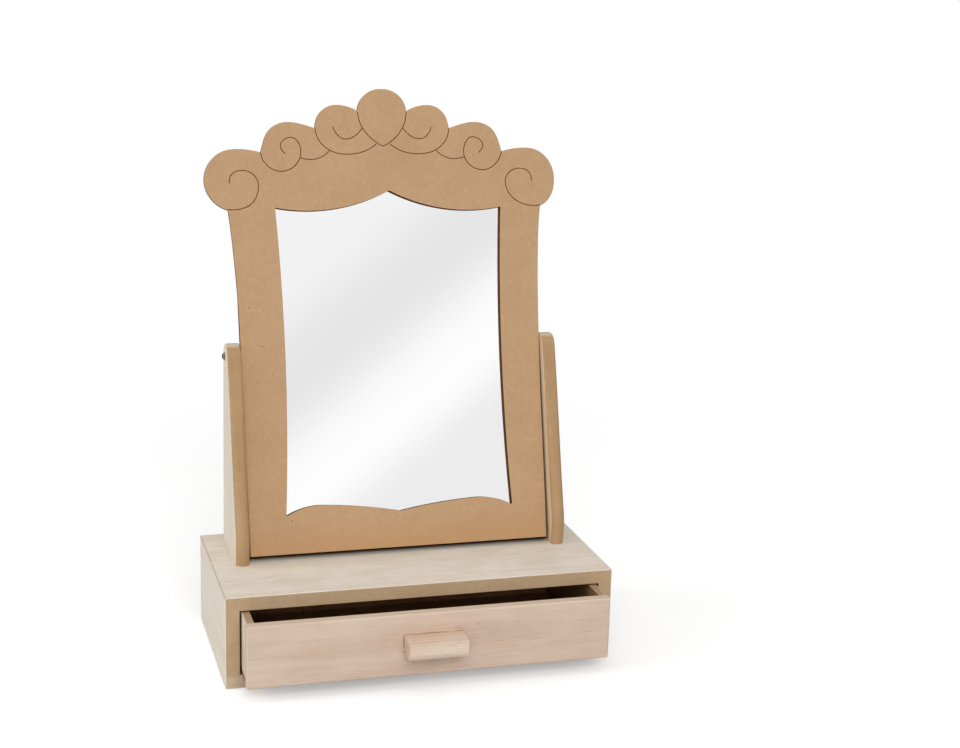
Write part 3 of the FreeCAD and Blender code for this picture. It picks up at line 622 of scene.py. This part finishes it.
@dataclass(frozen=True)
class CutFibreboard(Finish):
    """Fibreboard cut and engraved with heat: bare face and back, scorched walls and lines,
    painted shade on the window's walls and towards the bottom edge.
    """

    thick: float = 3.0 * MM
    relief: float = 0.05 * MM
    # Tones of the cut walls: the window's walls are darker than the outline's by painted shade
    # laid over their charring.
    scorch_and_shade: Tone = tone(70, 43, 24)
    toast: Tone = tone(104, 70, 42)
    line: Tone = tone(102, 62, 22)
    line_depth: Span = (0.5 * MM, 0.9 * MM)
    ember: Tone = tone(120, 82, 48)
    ember_level: Span = (0.35, 0.75)
    ember_share: float = 0.25
    wall_front: Span = (0.04 * MM, 0.16 * MM)
    wall_back: Span = (0.12 * MM, 0.04 * MM)
    wall_rough: float = 0.1
    # Painted shade: the board's face darkens towards its bottom edge.
    brown: Tone = tone(176, 134, 94)
    lower_shade_reach: float = 24 * MM
    lower_shade_share: float = 0.6
    fleck: Tone = tone(226, 199, 167)
    fleck_lay: float = -62.0
    fleck_level: Span = (0.82, 0.87)
    fleck_share: float = 0.7
    window_half: float = 88 * MM
    window_low: float = 15 * MM
    window_high: float = 236 * MM
    knots: tuple[Triple, ...] = (
        (-59.0 * MM, 4.4 * MM, 0.6 * MM),
        (-10.4 * MM, 2.4 * MM, 0.5 * MM),
        (-72.7 * MM, 21.4 * MM, 0.65 * MM),
        (-94.0 * MM, 160.2 * MM, 0.6 * MM),
        (-86.6 * MM, 134.8 * MM, 0.55 * MM),
    )
    knot_heart: float = 0.3
    face: BoardFace = BoardFace()

    def build(self, graph: Graph) -> None:
        """Builds the nodes.

        Args:
            graph: The material's graph.
        """
        place = self.face.place(graph)
        layer = FIBRE.layer(graph, place)
        across, depth, up = graph.axes(place)
        self.mark_face(graph, layer, place, across, up)
        back_low, back_high = (self.thick - inset for inset in self.wall_back)
        wall = depth.above(*self.wall_front) * depth.below(back_low, back_high)
        band = graph.noise(place, SCORCH_BAND)
        # Window walls take the darker tone: charring with painted shade on top.
        through = graph.blend(self.window(across, up), self.toast, self.scorch_and_shade)
        burnt_and_shaded = graph.blend(depth.above(*self.line_depth), self.line, through)
        burnt_and_shaded = graph.blend(band.above(*self.ember_level) * self.ember_share, burnt_and_shaded, self.ember)
        layer.lay(graph, wall, burnt_and_shaded)
        height = layer.height * (1 - wall) + wall * band
        rough = layer.rough + wall * self.wall_rough
        close_material(graph, Layer(layer.colour, height, rough), self.relief)

    def mark_face(
        self, graph: Graph, layer: Layer, place: Socket, across: Value, up: Value
    ) -> None:
        """Adds the pale flecks, the knots and painted shade along the lower edge to the bare
        fibre.

        Args:
            graph: The material's graph.
            layer: The bare fibre.
            place: Where on the board.
            across: Distance right of its middle.
            up: Height up it.
        """
        strand = graph.noise(graph.turned(place, self.fleck_lay), PALE_FLECK)
        layer.lay(graph, strand.above(*self.fleck_level) * self.fleck_share, self.fleck)
        for right, rise, radius in self.knots:
            reach = graph.reach(across - right, up - rise)
            layer.lay(graph, reach.below(self.knot_heart * radius, radius), FIBRE.speck)
        # Painted shade, darker towards the bottom edge.
        layer.lay(graph, up.below(0.0, self.lower_shade_reach) * self.lower_shade_share, self.brown)

    def window(self, across: Value, up: Value) -> Value:
        """The walls round the window, charred like the outline's and made darker by painted
        shade.

        Args:
            across: Distance right of the board's middle.
            up: Height up the board.

        Returns:
            1 there and 0 beyond.
        """
        inside = abs(across).below(self.window_half, self.window_half + MM)
        inside = inside * up.above(self.window_low - MM, self.window_low)
        return inside * up.below(self.window_high, self.window_high + MM)


@dataclass(frozen=True)
class CoreStrip(Finish):
    """Fibreboard strips behind the tilted board: charred and made darker by painted shade along
    their cut outer edges and their underside.
    """

    outer: float = 100.1 * MM
    outer_edge: Span = (0.3 * MM, 0.1 * MM)
    # Cut outer edges and underside: charring deepened by painted shade.
    scorch_and_shade: Tone = tone(84, 54, 32)
    char_and_shade: Tone = tone(42, 26, 14)
    char_and_shade_top: float = 0.1 * MM
    char_and_shade_fade: float = 0.1 * MM
    relief: float = 0.06 * MM
    face: BoardFace = BoardFace()

    def build(self, graph: Graph) -> None:
        """Builds the nodes.

        Args:
            graph: The material's graph.
        """
        place = self.face.place(graph)
        layer = EDGE_FIBRE.layer(graph, place)
        across, _, up = graph.axes(place)
        start, end = (self.outer - inset for inset in self.outer_edge)
        # Painted shade with charring on the outer edges and the underside.
        layer.lay(graph, abs(across).above(start, end), self.scorch_and_shade)
        layer.lay(graph, up.below(self.char_and_shade_top, self.char_and_shade_top + self.char_and_shade_fade), self.char_and_shade)
        close_material(graph, layer, self.relief)


@dataclass(frozen=True)
class Hardboard(Finish):
    """Thin brown hardboard: a smooth side, and a side with the press's fine mesh in it.

    The default for meshed_beyond lies behind every piece, so that both sides are smooth.
    """

    meshed_beyond: float = 1.0
    face: BoardFace | None = None
    mesh_pitch: float = 1.6 * MM
    mesh_edge: float = 0.1 * MM
    mesh_rise: float = 0.6
    mesh_level: Span = (0.0, 0.9)
    mesh_share: float = 0.35
    smooth_rough: float = 0.42
    mesh_rough: float = 0.3
    relief: float = 0.12 * MM

    def build(self, graph: Graph) -> None:
        """Builds the nodes.

        Args:
            graph: The material's graph.
        """
        place = self.face.place(graph) if self.face else graph.here()
        layer = HARDBOARD.layer(graph, place)
        across, depth, up = graph.axes(place)
        wave = 2 * math.pi / self.mesh_pitch
        mesh = graph.math("SINE", across * wave) * graph.math("SINE", up * wave)
        meshed = depth.above(self.meshed_beyond - self.mesh_edge, self.meshed_beyond)
        layer.lay(graph, mesh.above(*self.mesh_level) * meshed * self.mesh_share, HARDBOARD.dark)
        height = layer.height + mesh * meshed * self.mesh_rise
        rough = self.smooth_rough + meshed * self.mesh_rough + (layer.rough - HARDBOARD.rough)
        close_material(graph, Layer(layer.colour, height, rough), self.relief)


@dataclass(frozen=True)
class Skinned(Finish):
    """A fibre core under a thin pale skin, whose edge is soft by a share of its thickness."""

    grain: WoodGrain
    skin: float = 0.5 * MM
    skin_soft: float = 0.1
    # Painted shade: a dark tone laid on the core's far side, which faces into the case or the
    # drawer.
    inside: Tone = tone(112, 84, 58)
    inside_shade_edge: Span = (0.3 * MM, 0.1 * MM)
    inside_shade_share: float = 0.85
    relief: float = 0.05 * MM

    def in_skin(self, deep: Value) -> Value:
        """Tells the skin, 1, from the core, 0, by the depth below the skinned faces."""
        return deep.below(self.skin * (1 - self.skin_soft), self.skin * (1 + self.skin_soft))

    def paint_inside_shade(self, graph: Graph, core: Layer, deep: Value, thick: float) -> None:
        """Paints shade on the core's far side, which faces into the case or the drawer."""
        start, end = (thick - inset for inset in self.inside_shade_edge)
        core.lay(graph, deep.above(start, end) * self.inside_shade_share, self.inside)


@dataclass(frozen=True)
class CaseSkin(Skinned):
    """Veneered fibreboard of the case: pale skins outside, bare fibre on edges and within,
    painted shade on the inner faces and painted light on the bottom board's front edge.
    """

    skin: float = 0.55 * MM
    half_width: float = 125 * MM
    height: float = 59.5 * MM
    board: float = 9 * MM
    seam: Tone = tone(150, 124, 94)
    seam_edge: Span = (0.45 * MM, 0.95 * MM)
    seam_share: float = 0.7
    # Painted light: a paler tone on the bottom board's front edge, which the drawer front shades.
    low_edge: Tone = tone(206, 190, 170)
    low_light_reach: float = 3 * MM
    low_light_share: float = 0.5

    def build(self, graph: Graph) -> None:
        """Builds the nodes.

        Args:
            graph: The material's graph.
        """
        place = graph.here()
        across, _, up = graph.axes(place)
        side = self.half_width - abs(across)
        top = self.height - up
        outer = side.least(top).least(up)
        core = EDGE_FIBRE.layer(graph, place)
        # Painted light on the bottom board, where the drawer front shades it.
        low = up.below(self.board - self.low_light_reach, self.board + MM)
        core.lay(graph, low * self.low_light_share, self.low_edge)
        # Painted shade on the case's inner faces.
        self.paint_inside_shade(graph, core, outer, self.board)
        layer = over(graph, self.in_skin(outer), core, self.grain.layer(graph, place))
        corner = (side + top.least(up)).below(*self.seam_edge)
        layer.lay(graph, corner * self.seam_share, self.seam)
        close_material(graph, layer, self.relief)


@dataclass(frozen=True)
class PostSkin(Skinned):
    """Veneered fibreboard of the posts: pale skins on both broad faces, bare rounded edges,
    painted shade on the inner face.
    """

    skin: float = 0.15 * MM
    skin_soft: float = 0.5
    outer: float = 110.3 * MM
    inner: float = 101.3 * MM
    head_top: float = 195.54 * MM
    # A paler tone towards the top of each post's head.
    head_pale: Tone = tone(208, 194, 175)
    head_pale_edge: Span = (2.2 * MM, 0.3 * MM)
    head_pale_share: float = 0.7
    # Painted shade: a warm, darker tint on the veneer of each post's inner face, which the mirror
    # frame shades.
    inner_shade_tint: Tone = (0.98, 0.84, 0.67, 1.0)
    inner_shade_edge: Span = (0.2 * MM, 1.0 * MM)

    def build(self, graph: Graph) -> None:
        """Builds the nodes.

        Args:
            graph: The material's graph.
        """
        place = graph.here()
        across, _, up = graph.axes(place)
        deep = (self.outer - abs(across)).least(abs(across) - self.inner)
        core = POST_FIBRE.layer(graph, place)
        # Paler towards the top of the head.
        start, end = (self.head_top - inset for inset in self.head_pale_edge)
        core.lay(graph, up.above(start, end) * self.head_pale_share, self.head_pale)
        veneer = self.grain.layer(graph, place)
        # Painted shade on the inner face's veneer.
        start, end = (self.inner + inset for inset in self.inner_shade_edge)
        veneer.lay(graph, abs(across).below(start, end), self.inner_shade_tint, "MULTIPLY")
        close_material(graph, over(graph, self.in_skin(deep), core, veneer), self.relief)


@dataclass(frozen=True)
class BoxSkin(Skinned):
    """Drawer box board: a pale skin on its outside only, brown fibre on its edges, and painted
    shade on its inner face.
    """

    skin: float = 0.4 * MM
    skin_soft: float = 0.2
    # Painted shade on the inner face of the drawer box.
    inside: Tone = tone(112, 82, 54)
    inside_shade_edge: Span = (0.4 * MM, 0.1 * MM)
    relief: float = 0.06 * MM
    outer: float = 114.8 * MM
    thick: float = 5 * MM

    def build(self, graph: Graph) -> None:
        """Builds the nodes.

        Args:
            graph: The material's graph.
        """
        place = graph.here()
        across, _, _ = graph.axes(place)
        deep = self.outer - abs(across)
        core = BOX_FIBRE.layer(graph, place)
        # Painted shade on the box's inner face.
        self.paint_inside_shade(graph, core, deep, self.thick)
        layer = over(graph, self.in_skin(deep), core, self.grain.layer(graph, place))
        close_material(graph, layer, self.relief)


@dataclass(frozen=True)
class DrawerFace(Finish):
    """Drawer front: wood on its face with a dark seam line and painted shade round the pull,
    fibre behind the face.
    """

    grain: WoodGrain
    front: float = -83.8 * MM
    skin: float = 0.9 * MM
    skin_fade: float = 0.4 * MM
    edge: Tone = tone(196, 176, 154)
    edge_share: float = 0.85
    pull_half: float = 18.5 * MM
    pull_middle: float = 30.5 * MM
    pull_half_high: float = 5.5 * MM
    # A dark seam line round the pull, deepened by painted contact shade.
    joint_and_shade: Tone = tone(136, 104, 80)
    joint_and_shade_edge: Span = (0.25 * MM, 0.95 * MM)
    joint_and_shade_share: float = 0.25
    uneven_level: Span = (0.25, 0.7)
    uneven_share: float = 0.6
    relief: float = 0.06 * MM

    def build(self, graph: Graph) -> None:
        """Builds the nodes.

        Args:
            graph: The material's graph.
        """
        place = graph.here()
        across, along, up = graph.axes(place)
        layer = self.grain.layer(graph, place)
        aside = abs(across) - self.pull_half
        above = abs(up - self.pull_middle) - self.pull_half_high
        uneven = graph.noise(place, UNEVEN_JOINT).above(*self.uneven_level)
        strength = self.joint_and_shade_share + uneven * self.uneven_share
        # Dark seam line with painted shade round the pull's foot.
        layer.lay(graph, aside.most(above).below(*self.joint_and_shade_edge) * strength, self.joint_and_shade)
        behind = (along - self.front).above(self.skin, self.skin + self.skin_fade)
        layer.lay(graph, behind * self.edge_share, self.edge)
        close_material(graph, layer, self.relief)


@dataclass(frozen=True)
class PullWood(Finish):
    """Pull: its grain paler on the front, which falls back in a curve, and darker round it, as
    painted light and shade by face.
    """

    grain: WoodGrain
    face: WoodGrain
    front: float = -99.8 * MM
    lit_front_edge: Span = (0.4 * MM, 1.0 * MM)
    curve_top: float = 29.2 * MM
    curve_high: float = 4.2 * MM
    curve_deep: float = 1.8 * MM
    relief: float = 0.06 * MM

    def build(self, graph: Graph) -> None:
        """Builds the nodes.

        Args:
            graph: The material's graph.
        """
        place = graph.here()
        _, along, up = graph.axes(place)
        fall = ((self.curve_top - up) / self.curve_high).most(0.0)
        depth = along - self.front - fall * fall * self.curve_deep
        wood, face = (grain.layer(graph, place) for grain in (self.grain, self.face))
        # Painted light on the front face, with the darker copy of the grain on the top and ends.
        layer = over(graph, depth.below(*self.lit_front_edge), wood, face)
        close_material(graph, layer, self.relief)


@dataclass(frozen=True)
class SilveredGlass(Finish):
    """Mirror glass: a clean bright face with the faintest wipe marks."""

    tint: Tone = (0.965, 0.962, 0.964, 1.0)
    wiped: Tone = (0.955, 0.955, 0.957, 1.0)
    wiped_level: Span = (0.3, 0.8)
    wiped_share: float = 0.5
    wipe_turn: float = 35.0
    clean_rough: float = 0.004
    wiped_rough: float = 0.012
    rough_level: Span = (0.45, 0.8)
    face: BoardFace = BoardFace()

    def build(self, graph: Graph) -> None:
        """Builds the nodes.

        Args:
            graph: The material's graph.
        """
        place = graph.turned(self.face.place(graph), self.wipe_turn)
        wipe = graph.noise(place, WIPE_MARKS)
        rough = self.clean_rough + wipe.above(*self.rough_level) * self.wiped_rough
        share = wipe.above(*self.wiped_level) * self.wiped_share
        colour = graph.blend(share, self.tint, self.wiped)
        sockets = {"Base Color": colour, "Roughness": rough, "Metallic": 1.0}
        shader = graph.add("ShaderNodeBsdfPrincipled", None, sockets)
        graph.add("ShaderNodeOutputMaterial", None, {"Surface": shader.outputs[0]})


@dataclass(frozen=True)
class Metal(Finish):
    """Bright metal with fine rolling lines and a little wear, and painted shade in a pivot
    screw's recess.
    """

    bright: Tone
    dull: Tone
    rough: float
    dull_level: Span = (0.3, 0.7)
    cloud_rough: float = 0.3
    line_rough: float = 0.2
    relief: float = 0.01 * MM
    # Radius of a dark disc of painted shade over the pivot screw's recess; 0 leaves it out.
    recess: float = 0.0
    recess_shade_core: float = 0.8
    recess_shade_tone: Tone = tone(26, 21, 17)
    pivot: Span = (39.6 * MM, 186.812 * MM)

    def build(self, graph: Graph) -> None:
        """Builds the nodes.

        Args:
            graph: The material's graph.
        """
        place = graph.here()
        cloud, lines = (graph.noise(place, kind) for kind in (METAL_CLOUD, ROLLING_LINES))
        rough = self.rough + (cloud - MIDDLE) * self.cloud_rough
        rough = rough + (lines - MIDDLE) * self.line_rough
        colour = graph.blend(cloud.above(*self.dull_level), self.bright, self.dull)
        layer = Layer(colour, lines, rough)
        # Painted shade in the pivot screw's recess.
        if self.recess:
            _, along, up = graph.axes(place)
            reach = graph.reach(along - self.pivot[0], up - self.pivot[1])
            dark = reach.below(self.recess * self.recess_shade_core, self.recess)
            layer.lay(graph, dark, self.recess_shade_tone)
        close_material(graph, layer, self.relief, METAL_GLOSS, 1.0)


ZINC = Metal("zinc_plate", tone(208, 206, 200), tone(176, 172, 164), 0.32)
STEEL = Metal("bright_steel", tone(196, 196, 196), tone(164, 164, 164), 0.38)
NICKEL = Metal("pivot_nickel", tone(142, 134, 122), tone(98, 90, 80), 0.26, recess=1.8 * MM)

TOP_GRAIN = WoodGrain(
    pale=tone(223, 214, 201),
    dark=tone(206, 194, 178),
    pore=tone(184, 165, 143),
    run=Run.ALONG_X,
    figure=0.2,
    lines=0.42,
    pores=0.75,
    mottle=0.85,
)
SIDE_GRAIN = WoodGrain(
    pale=tone(220, 211, 198),
    dark=tone(210, 199, 184),
    pore=tone(188, 170, 148),
    run=Run.ALONG_Y,
    figure=0.35,
    lines=0.3,
    pores=0.35,
)
POST_GRAIN = WoodGrain(
    pale=tone(219, 210, 197),
    dark=tone(210, 198, 183),
    pore=tone(188, 170, 148),
    run=Run.ALONG_Z,
    figure=0.3,
    lines=0.3,
    pores=0.25,
)
FRONT_GRAIN = WoodGrain(
    pale=tone(209, 188, 171),
    dark=tone(198, 173, 154),
    pore=tone(170, 140, 114),
    run=Run.ALONG_X,
    figure=0.35,
    lines=0.26,
    mottle=1.1,
    shift=4.0,
)
BOX_GRAIN = WoodGrain(
    pale=tone(216, 201, 182),
    dark=tone(202, 185, 165),
    pore=tone(168, 148, 124),
    run=Run.ALONG_Y,
    shift=8.0,
)
PULL_GRAIN = WoodGrain(
    pale=tone(211, 188, 169),
    dark=tone(199, 172, 151),
    pore=tone(164, 132, 108),
    run=Run.ALONG_X,
    figure=0.4,
    lines=0.8,
    pores=0.6,
    shift=12.0,
)
# Painted light: a paler copy of the pull's grain for its front face, which faces the lamps.
PULL_LIT_FRONT_GRAIN = replace(
    PULL_GRAIN,
    pale=tone(221, 203, 186),
    dark=tone(210, 188, 168),
    pore=tone(172, 142, 118),
)


# ---------------------------------------------------------------- sub-assemblies


def dress(names: Iterable[str], finish: Finish) -> None:
    """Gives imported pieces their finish.

    Args:
        names: The pieces.
        finish: The finish, which they share.
    """
    material = finish.make()
    for name in names:
        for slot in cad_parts[name].material_slots:
            slot.material = material
        LOG.info("%s: %s", name, material.name)


@dataclass(frozen=True)
class Easing:
    """Takes the sharpness off square pieces by a narrow bevel along their corners."""

    width: float
    steps: int = 2
    sharp: float = math.radians(40)
    weld_gap: float = 0.001 * MM

    def apply(self, names: Iterable[str]) -> None:
        """Adds the modifiers.

        Args:
            names: The pieces.
        """
        for name in names:
            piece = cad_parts[name]
            weld = piece.modifiers.new("join", "WELD")
            weld.merge_threshold = self.weld_gap
            bevel = piece.modifiers.new("ease", "BEVEL")
            bevel.width = self.width
            bevel.segments = self.steps
            bevel.limit_method = "ANGLE"
            bevel.angle_limit = self.sharp
            bevel.harden_normals = False
            LOG.info("%s: edges eased", name)


@dataclass(frozen=True)
class Base:
    """The case that stands on the table, with its two posts."""

    panel_front: float = 56.5 * MM
    panel_thick: float = 3 * MM
    easing: Easing = Easing(0.25 * MM)

    def finish(self) -> None:
        """Dresses the case, its back panel, the posts and their screws."""
        dress(("case_top", "case_bottom"), CaseSkin("case_veneer_long", TOP_GRAIN))
        dress(("case_left", "case_right"), CaseSkin("case_veneer_short", SIDE_GRAIN))
        dress(("post_left", "post_right"), PostSkin("post_veneer", POST_GRAIN))
        dress(("case_back",), Hardboard("case_hardboard", self.panel_front + self.panel_thick))
        self.easing.apply(("case_back",))
        ends = [(side, end) for side in ("left", "right") for end in ("front", "back")]
        dress([f"post_screw_{side}_{end}" for side, end in ends], ZINC)


@dataclass(frozen=True)
class MirrorFrame:
    """The tilting mirror: scroll-crested board, core, glass, backing and fittings."""

    backing_depth: float = 9 * MM
    easing: Easing = Easing(0.2 * MM)

    def finish(self) -> None:
        """Dresses the board, the core, the glass, the backing and the fittings."""
        dress(("fret_board",), CutFibreboard("cut_fibreboard"))
        core = ("stile_left", "stile_right", "rail_bottom", "rail_top")
        dress(core, CoreStrip("core_fibreboard"))
        dress(("mirror_glass",), SilveredGlass("silvered_glass"))
        backing = Hardboard("backing_hardboard", self.backing_depth, BoardFace())
        dress(("backing_board",), backing)
        self.easing.apply(("backing_board",))
        spots = ("left_low", "left_high", "right_low", "right_high", "top", "bottom")
        dress([f"clip_{spot}" for spot in spots], STEEL)
        dress([f"clip_screw_{spot}" for spot in spots], ZINC)
        dress(("washer_left", "washer_right"), STEEL)
        dress(("pivot_screw_left", "pivot_screw_right"), NICKEL)


@dataclass(frozen=True)
class Drawer:
    """The drawer: front, box and pull."""

    easing: Easing = Easing(0.3 * MM)

    def finish(self) -> None:
        """Dresses the front, the box, the pull and its screws."""
        dress(("drawer_front",), DrawerFace("drawer_front_wood", FRONT_GRAIN))
        sides = ("drawer_side_left", "drawer_side_right")
        dress(sides, BoxSkin("drawer_side_board", BOX_GRAIN))
        dress(("drawer_back",), Hardboard("drawer_back_board"))
        dress(("drawer_bottom",), Hardboard("drawer_hardboard"))
        self.easing.apply((*sides, "drawer_back"))
        dress(("pull",), PullWood("pull_wood", PULL_GRAIN, PULL_LIT_FRONT_GRAIN))
        dress(("pull_screw_left", "pull_screw_right"), ZINC)


# ---------------------------------------------------------------- studio


@dataclass(frozen=True)
class Camera:
    """The standing camera."""

    place: Triple = (-0.25903, -1.04786, 0.44610)
    yaw: float = -16.425
    rise: float = 76.213
    roll: float = 1.610
    lens: float = 64.896
    sensor: float = 36.0

    def build(self) -> None:
        """Makes the camera and hands it to the scene."""
        camera = bpy.data.objects.new("camera", bpy.data.cameras.new("camera"))
        bpy.context.scene.collection.objects.link(camera)
        camera.data.lens = self.lens
        camera.data.sensor_width = self.sensor
        turn = Matrix.Rotation(math.radians(self.yaw), 4, "Z")
        turn = turn @ Matrix.Rotation(math.radians(self.rise), 4, "X")
        turn = turn @ Matrix.Rotation(math.radians(self.roll), 4, "Z")
        camera.matrix_world = Matrix.Translation(self.place) @ turn
        bpy.context.scene.camera = camera


@dataclass(frozen=True)
class Lamp:
    """One large soft lamp, aimed at the middle of the object."""

    name: str
    place: Triple
    power: float
    size: float = 1.6
    aim: Triple = (0.0, 0.0, 0.12)

    def build(self) -> None:
        """Makes the lamp."""
        light = bpy.data.lights.new(self.name, "AREA")
        light.shape = "SQUARE"
        light.size = self.size
        light.energy = self.power
        lamp = bpy.data.objects.new(self.name, light)
        bpy.context.scene.collection.objects.link(lamp)
        place = Vector(self.place)
        turn = (Vector(self.aim) - place).to_track_quat("-Z", "Y")
        lamp.matrix_world = Matrix.Translation(place) @ turn.to_matrix().to_4x4()
        lamp.visible_glossy = False


def seen(graph: Graph) -> tuple[Value, Value]:
    """Rays that should meet plain background.

    Args:
        graph: The node graph.

    Returns:
        The camera's own rays, and those with the ones that gloss and glass send.
    """
    outputs = graph.add("ShaderNodeLightPath").outputs
    names = ("Is Camera Ray", "Is Glossy Ray", "Is Transmission Ray")
    direct, gloss, through = (Value(graph, outputs[name]) for name in names)
    return direct, direct.most(gloss).most(through)


@dataclass(frozen=True)
class Surround:
    """White world that lights evenly and shows gloss a soft slanting strip."""

    level: float = 0.81
    low_light_share: float = 0.3
    low_edge: Span = (0.0, 0.55)
    back_share: float = 0.66
    back_edge: Span = (-0.5, 0.5)
    strip_middle: Triple = (0.22565, 0.0, 0.29414)
    strip_turn: float = 125.0
    strip_span: Span = (-0.09, 0.09)
    strip: tuple[Span, ...] = (
        (-0.064, 240.0),
        (-0.030, 258.0),
        (-0.022, 257.0),
        (0.023, 233.5),
        (0.031, 234.0),
        (0.072, 246.5),
    )

    def build(self) -> None:
        """Makes the world."""
        world = bpy.data.worlds.new("surround")
        world.use_nodes = True
        bpy.context.scene.world = world
        graph = Graph(world.node_tree)
        direct, background = seen(graph)
        across, along, up = graph.axes(graph.add("ShaderNodeTexCoord").outputs["Generated"])
        dome = self.low_light_share + up.above(*self.low_edge) * (1 - self.low_light_share)
        front = along.below(*self.back_edge) * (1 - self.back_share)
        dome = dome * (self.back_share + front) * self.level
        view = graph.blend(direct, self.strip_colour(graph, across, up), WHITE)
        plain = graph.add("ShaderNodeBackground", None, {"Color": WHITE, "Strength": dome})
        shown = graph.add("ShaderNodeBackground", None, {"Color": view, "Strength": 1.0})
        world_shader = graph.mix(background, plain, shown)
        graph.add("ShaderNodeOutputWorld", None, {"Surface": world_shader.outputs[0]})

    def strip_colour(self, graph: Graph, across: Value, up: Value) -> Socket:
        """The soft strip of greys that the mirror shows.

        Args:
            graph: The world's graph.
            across: How far right a ray points.
            up: How far up it points.

        Returns:
            The colour socket.
        """
        turn = math.radians(self.strip_turn)
        right, _, high_up = self.strip_middle
        run = (across - right) * math.cos(turn) + (up - high_up) * math.sin(turn)
        low, high = self.strip_span
        stops = [((at - low) / (high - low), tone(grey, grey, grey)) for at, grey in self.strip]
        share = (run - low) / (high - low)
        ramp = graph.add("ShaderNodeValToRGB", {"stops": stops}, {0: share})
        ramp.color_ramp.interpolation = "EASE"
        return ramp.outputs[0]


@dataclass(frozen=True)
class Floor:
    """White floor that keeps the object's shadow and fades to plain white."""

    bounce: float = 0.55
    lift: float = 0.305
    white: float = 0.80
    fade: Span = (0.35, 0.75)
    size: float = 8.0
    drop: float = 0.1 * MM

    def build(self) -> None:
        """Makes the floor, which is no part of the object."""
        shape = bmesh.new()
        lowered = Matrix.Translation((0, 0, -self.drop))
        bmesh.ops.create_grid(
            shape, x_segments=2, y_segments=2, size=self.size / 2, matrix=lowered
        )
        mesh = bpy.data.meshes.new("floor")
        shape.to_mesh(mesh)
        shape.free()
        mesh.materials.append(self.paint())
        floor = bpy.data.objects.new("floor", mesh)
        bpy.context.scene.collection.objects.link(floor)

    def paint(self) -> bpy.types.Material:
        """Makes the floor's material.

        Returns:
            The material.
        """
        material, graph = new_material("floor_white")
        _, background = seen(graph)
        across, along, _ = graph.axes(graph.here())
        plain = graph.add("ShaderNodeBsdfDiffuse", None, {"Color": neutral(self.bounce)})
        white = graph.add("ShaderNodeBsdfDiffuse", None, {"Color": neutral(self.white)})
        lift = graph.add("ShaderNodeEmission", None, {"Strength": self.lift})
        sockets = {0: white.outputs[0], 1: lift.outputs[0]}
        lifted = graph.add("ShaderNodeAddShader", None, sockets)
        clear = graph.add("ShaderNodeEmission", None, {"Strength": 1.0})
        far = graph.reach(across, along).above(*self.fade)
        shown = graph.mix(background, plain, graph.mix(far, lifted, clear))
        graph.add("ShaderNodeOutputMaterial", None, {"Surface": shown.outputs[0]})
        return material


@dataclass(frozen=True)
class Studio:
    """White floor and surround, and two large soft lamps."""

    surround: Surround = Surround()
    floor: Floor = Floor()
    lamps: tuple[Lamp, ...] = (
        Lamp("front_lamp", (-0.32, -2.30, 1.35), 38.0),
        Lamp("side_lamp", (-2.20, 0.10, 0.85), 23.0),
    )

    def build(self) -> None:
        """Builds the surround, the floor and the lamps."""
        self.surround.build()
        self.floor.build()
        for lamp in self.lamps:
            lamp.build()
        bpy.context.scene.view_settings.view_transform = "Standard"


def main() -> None:
    """Builds the camera and the studio, and dresses the three sub-assemblies in order."""
    logging.basicConfig(level=logging.INFO, format="%(message)s")
    Camera().build()
    Studio().build()
    Base().finish()
    MirrorFrame().finish()
    Drawer().finish()


if __name__ == "__main__":
    main()
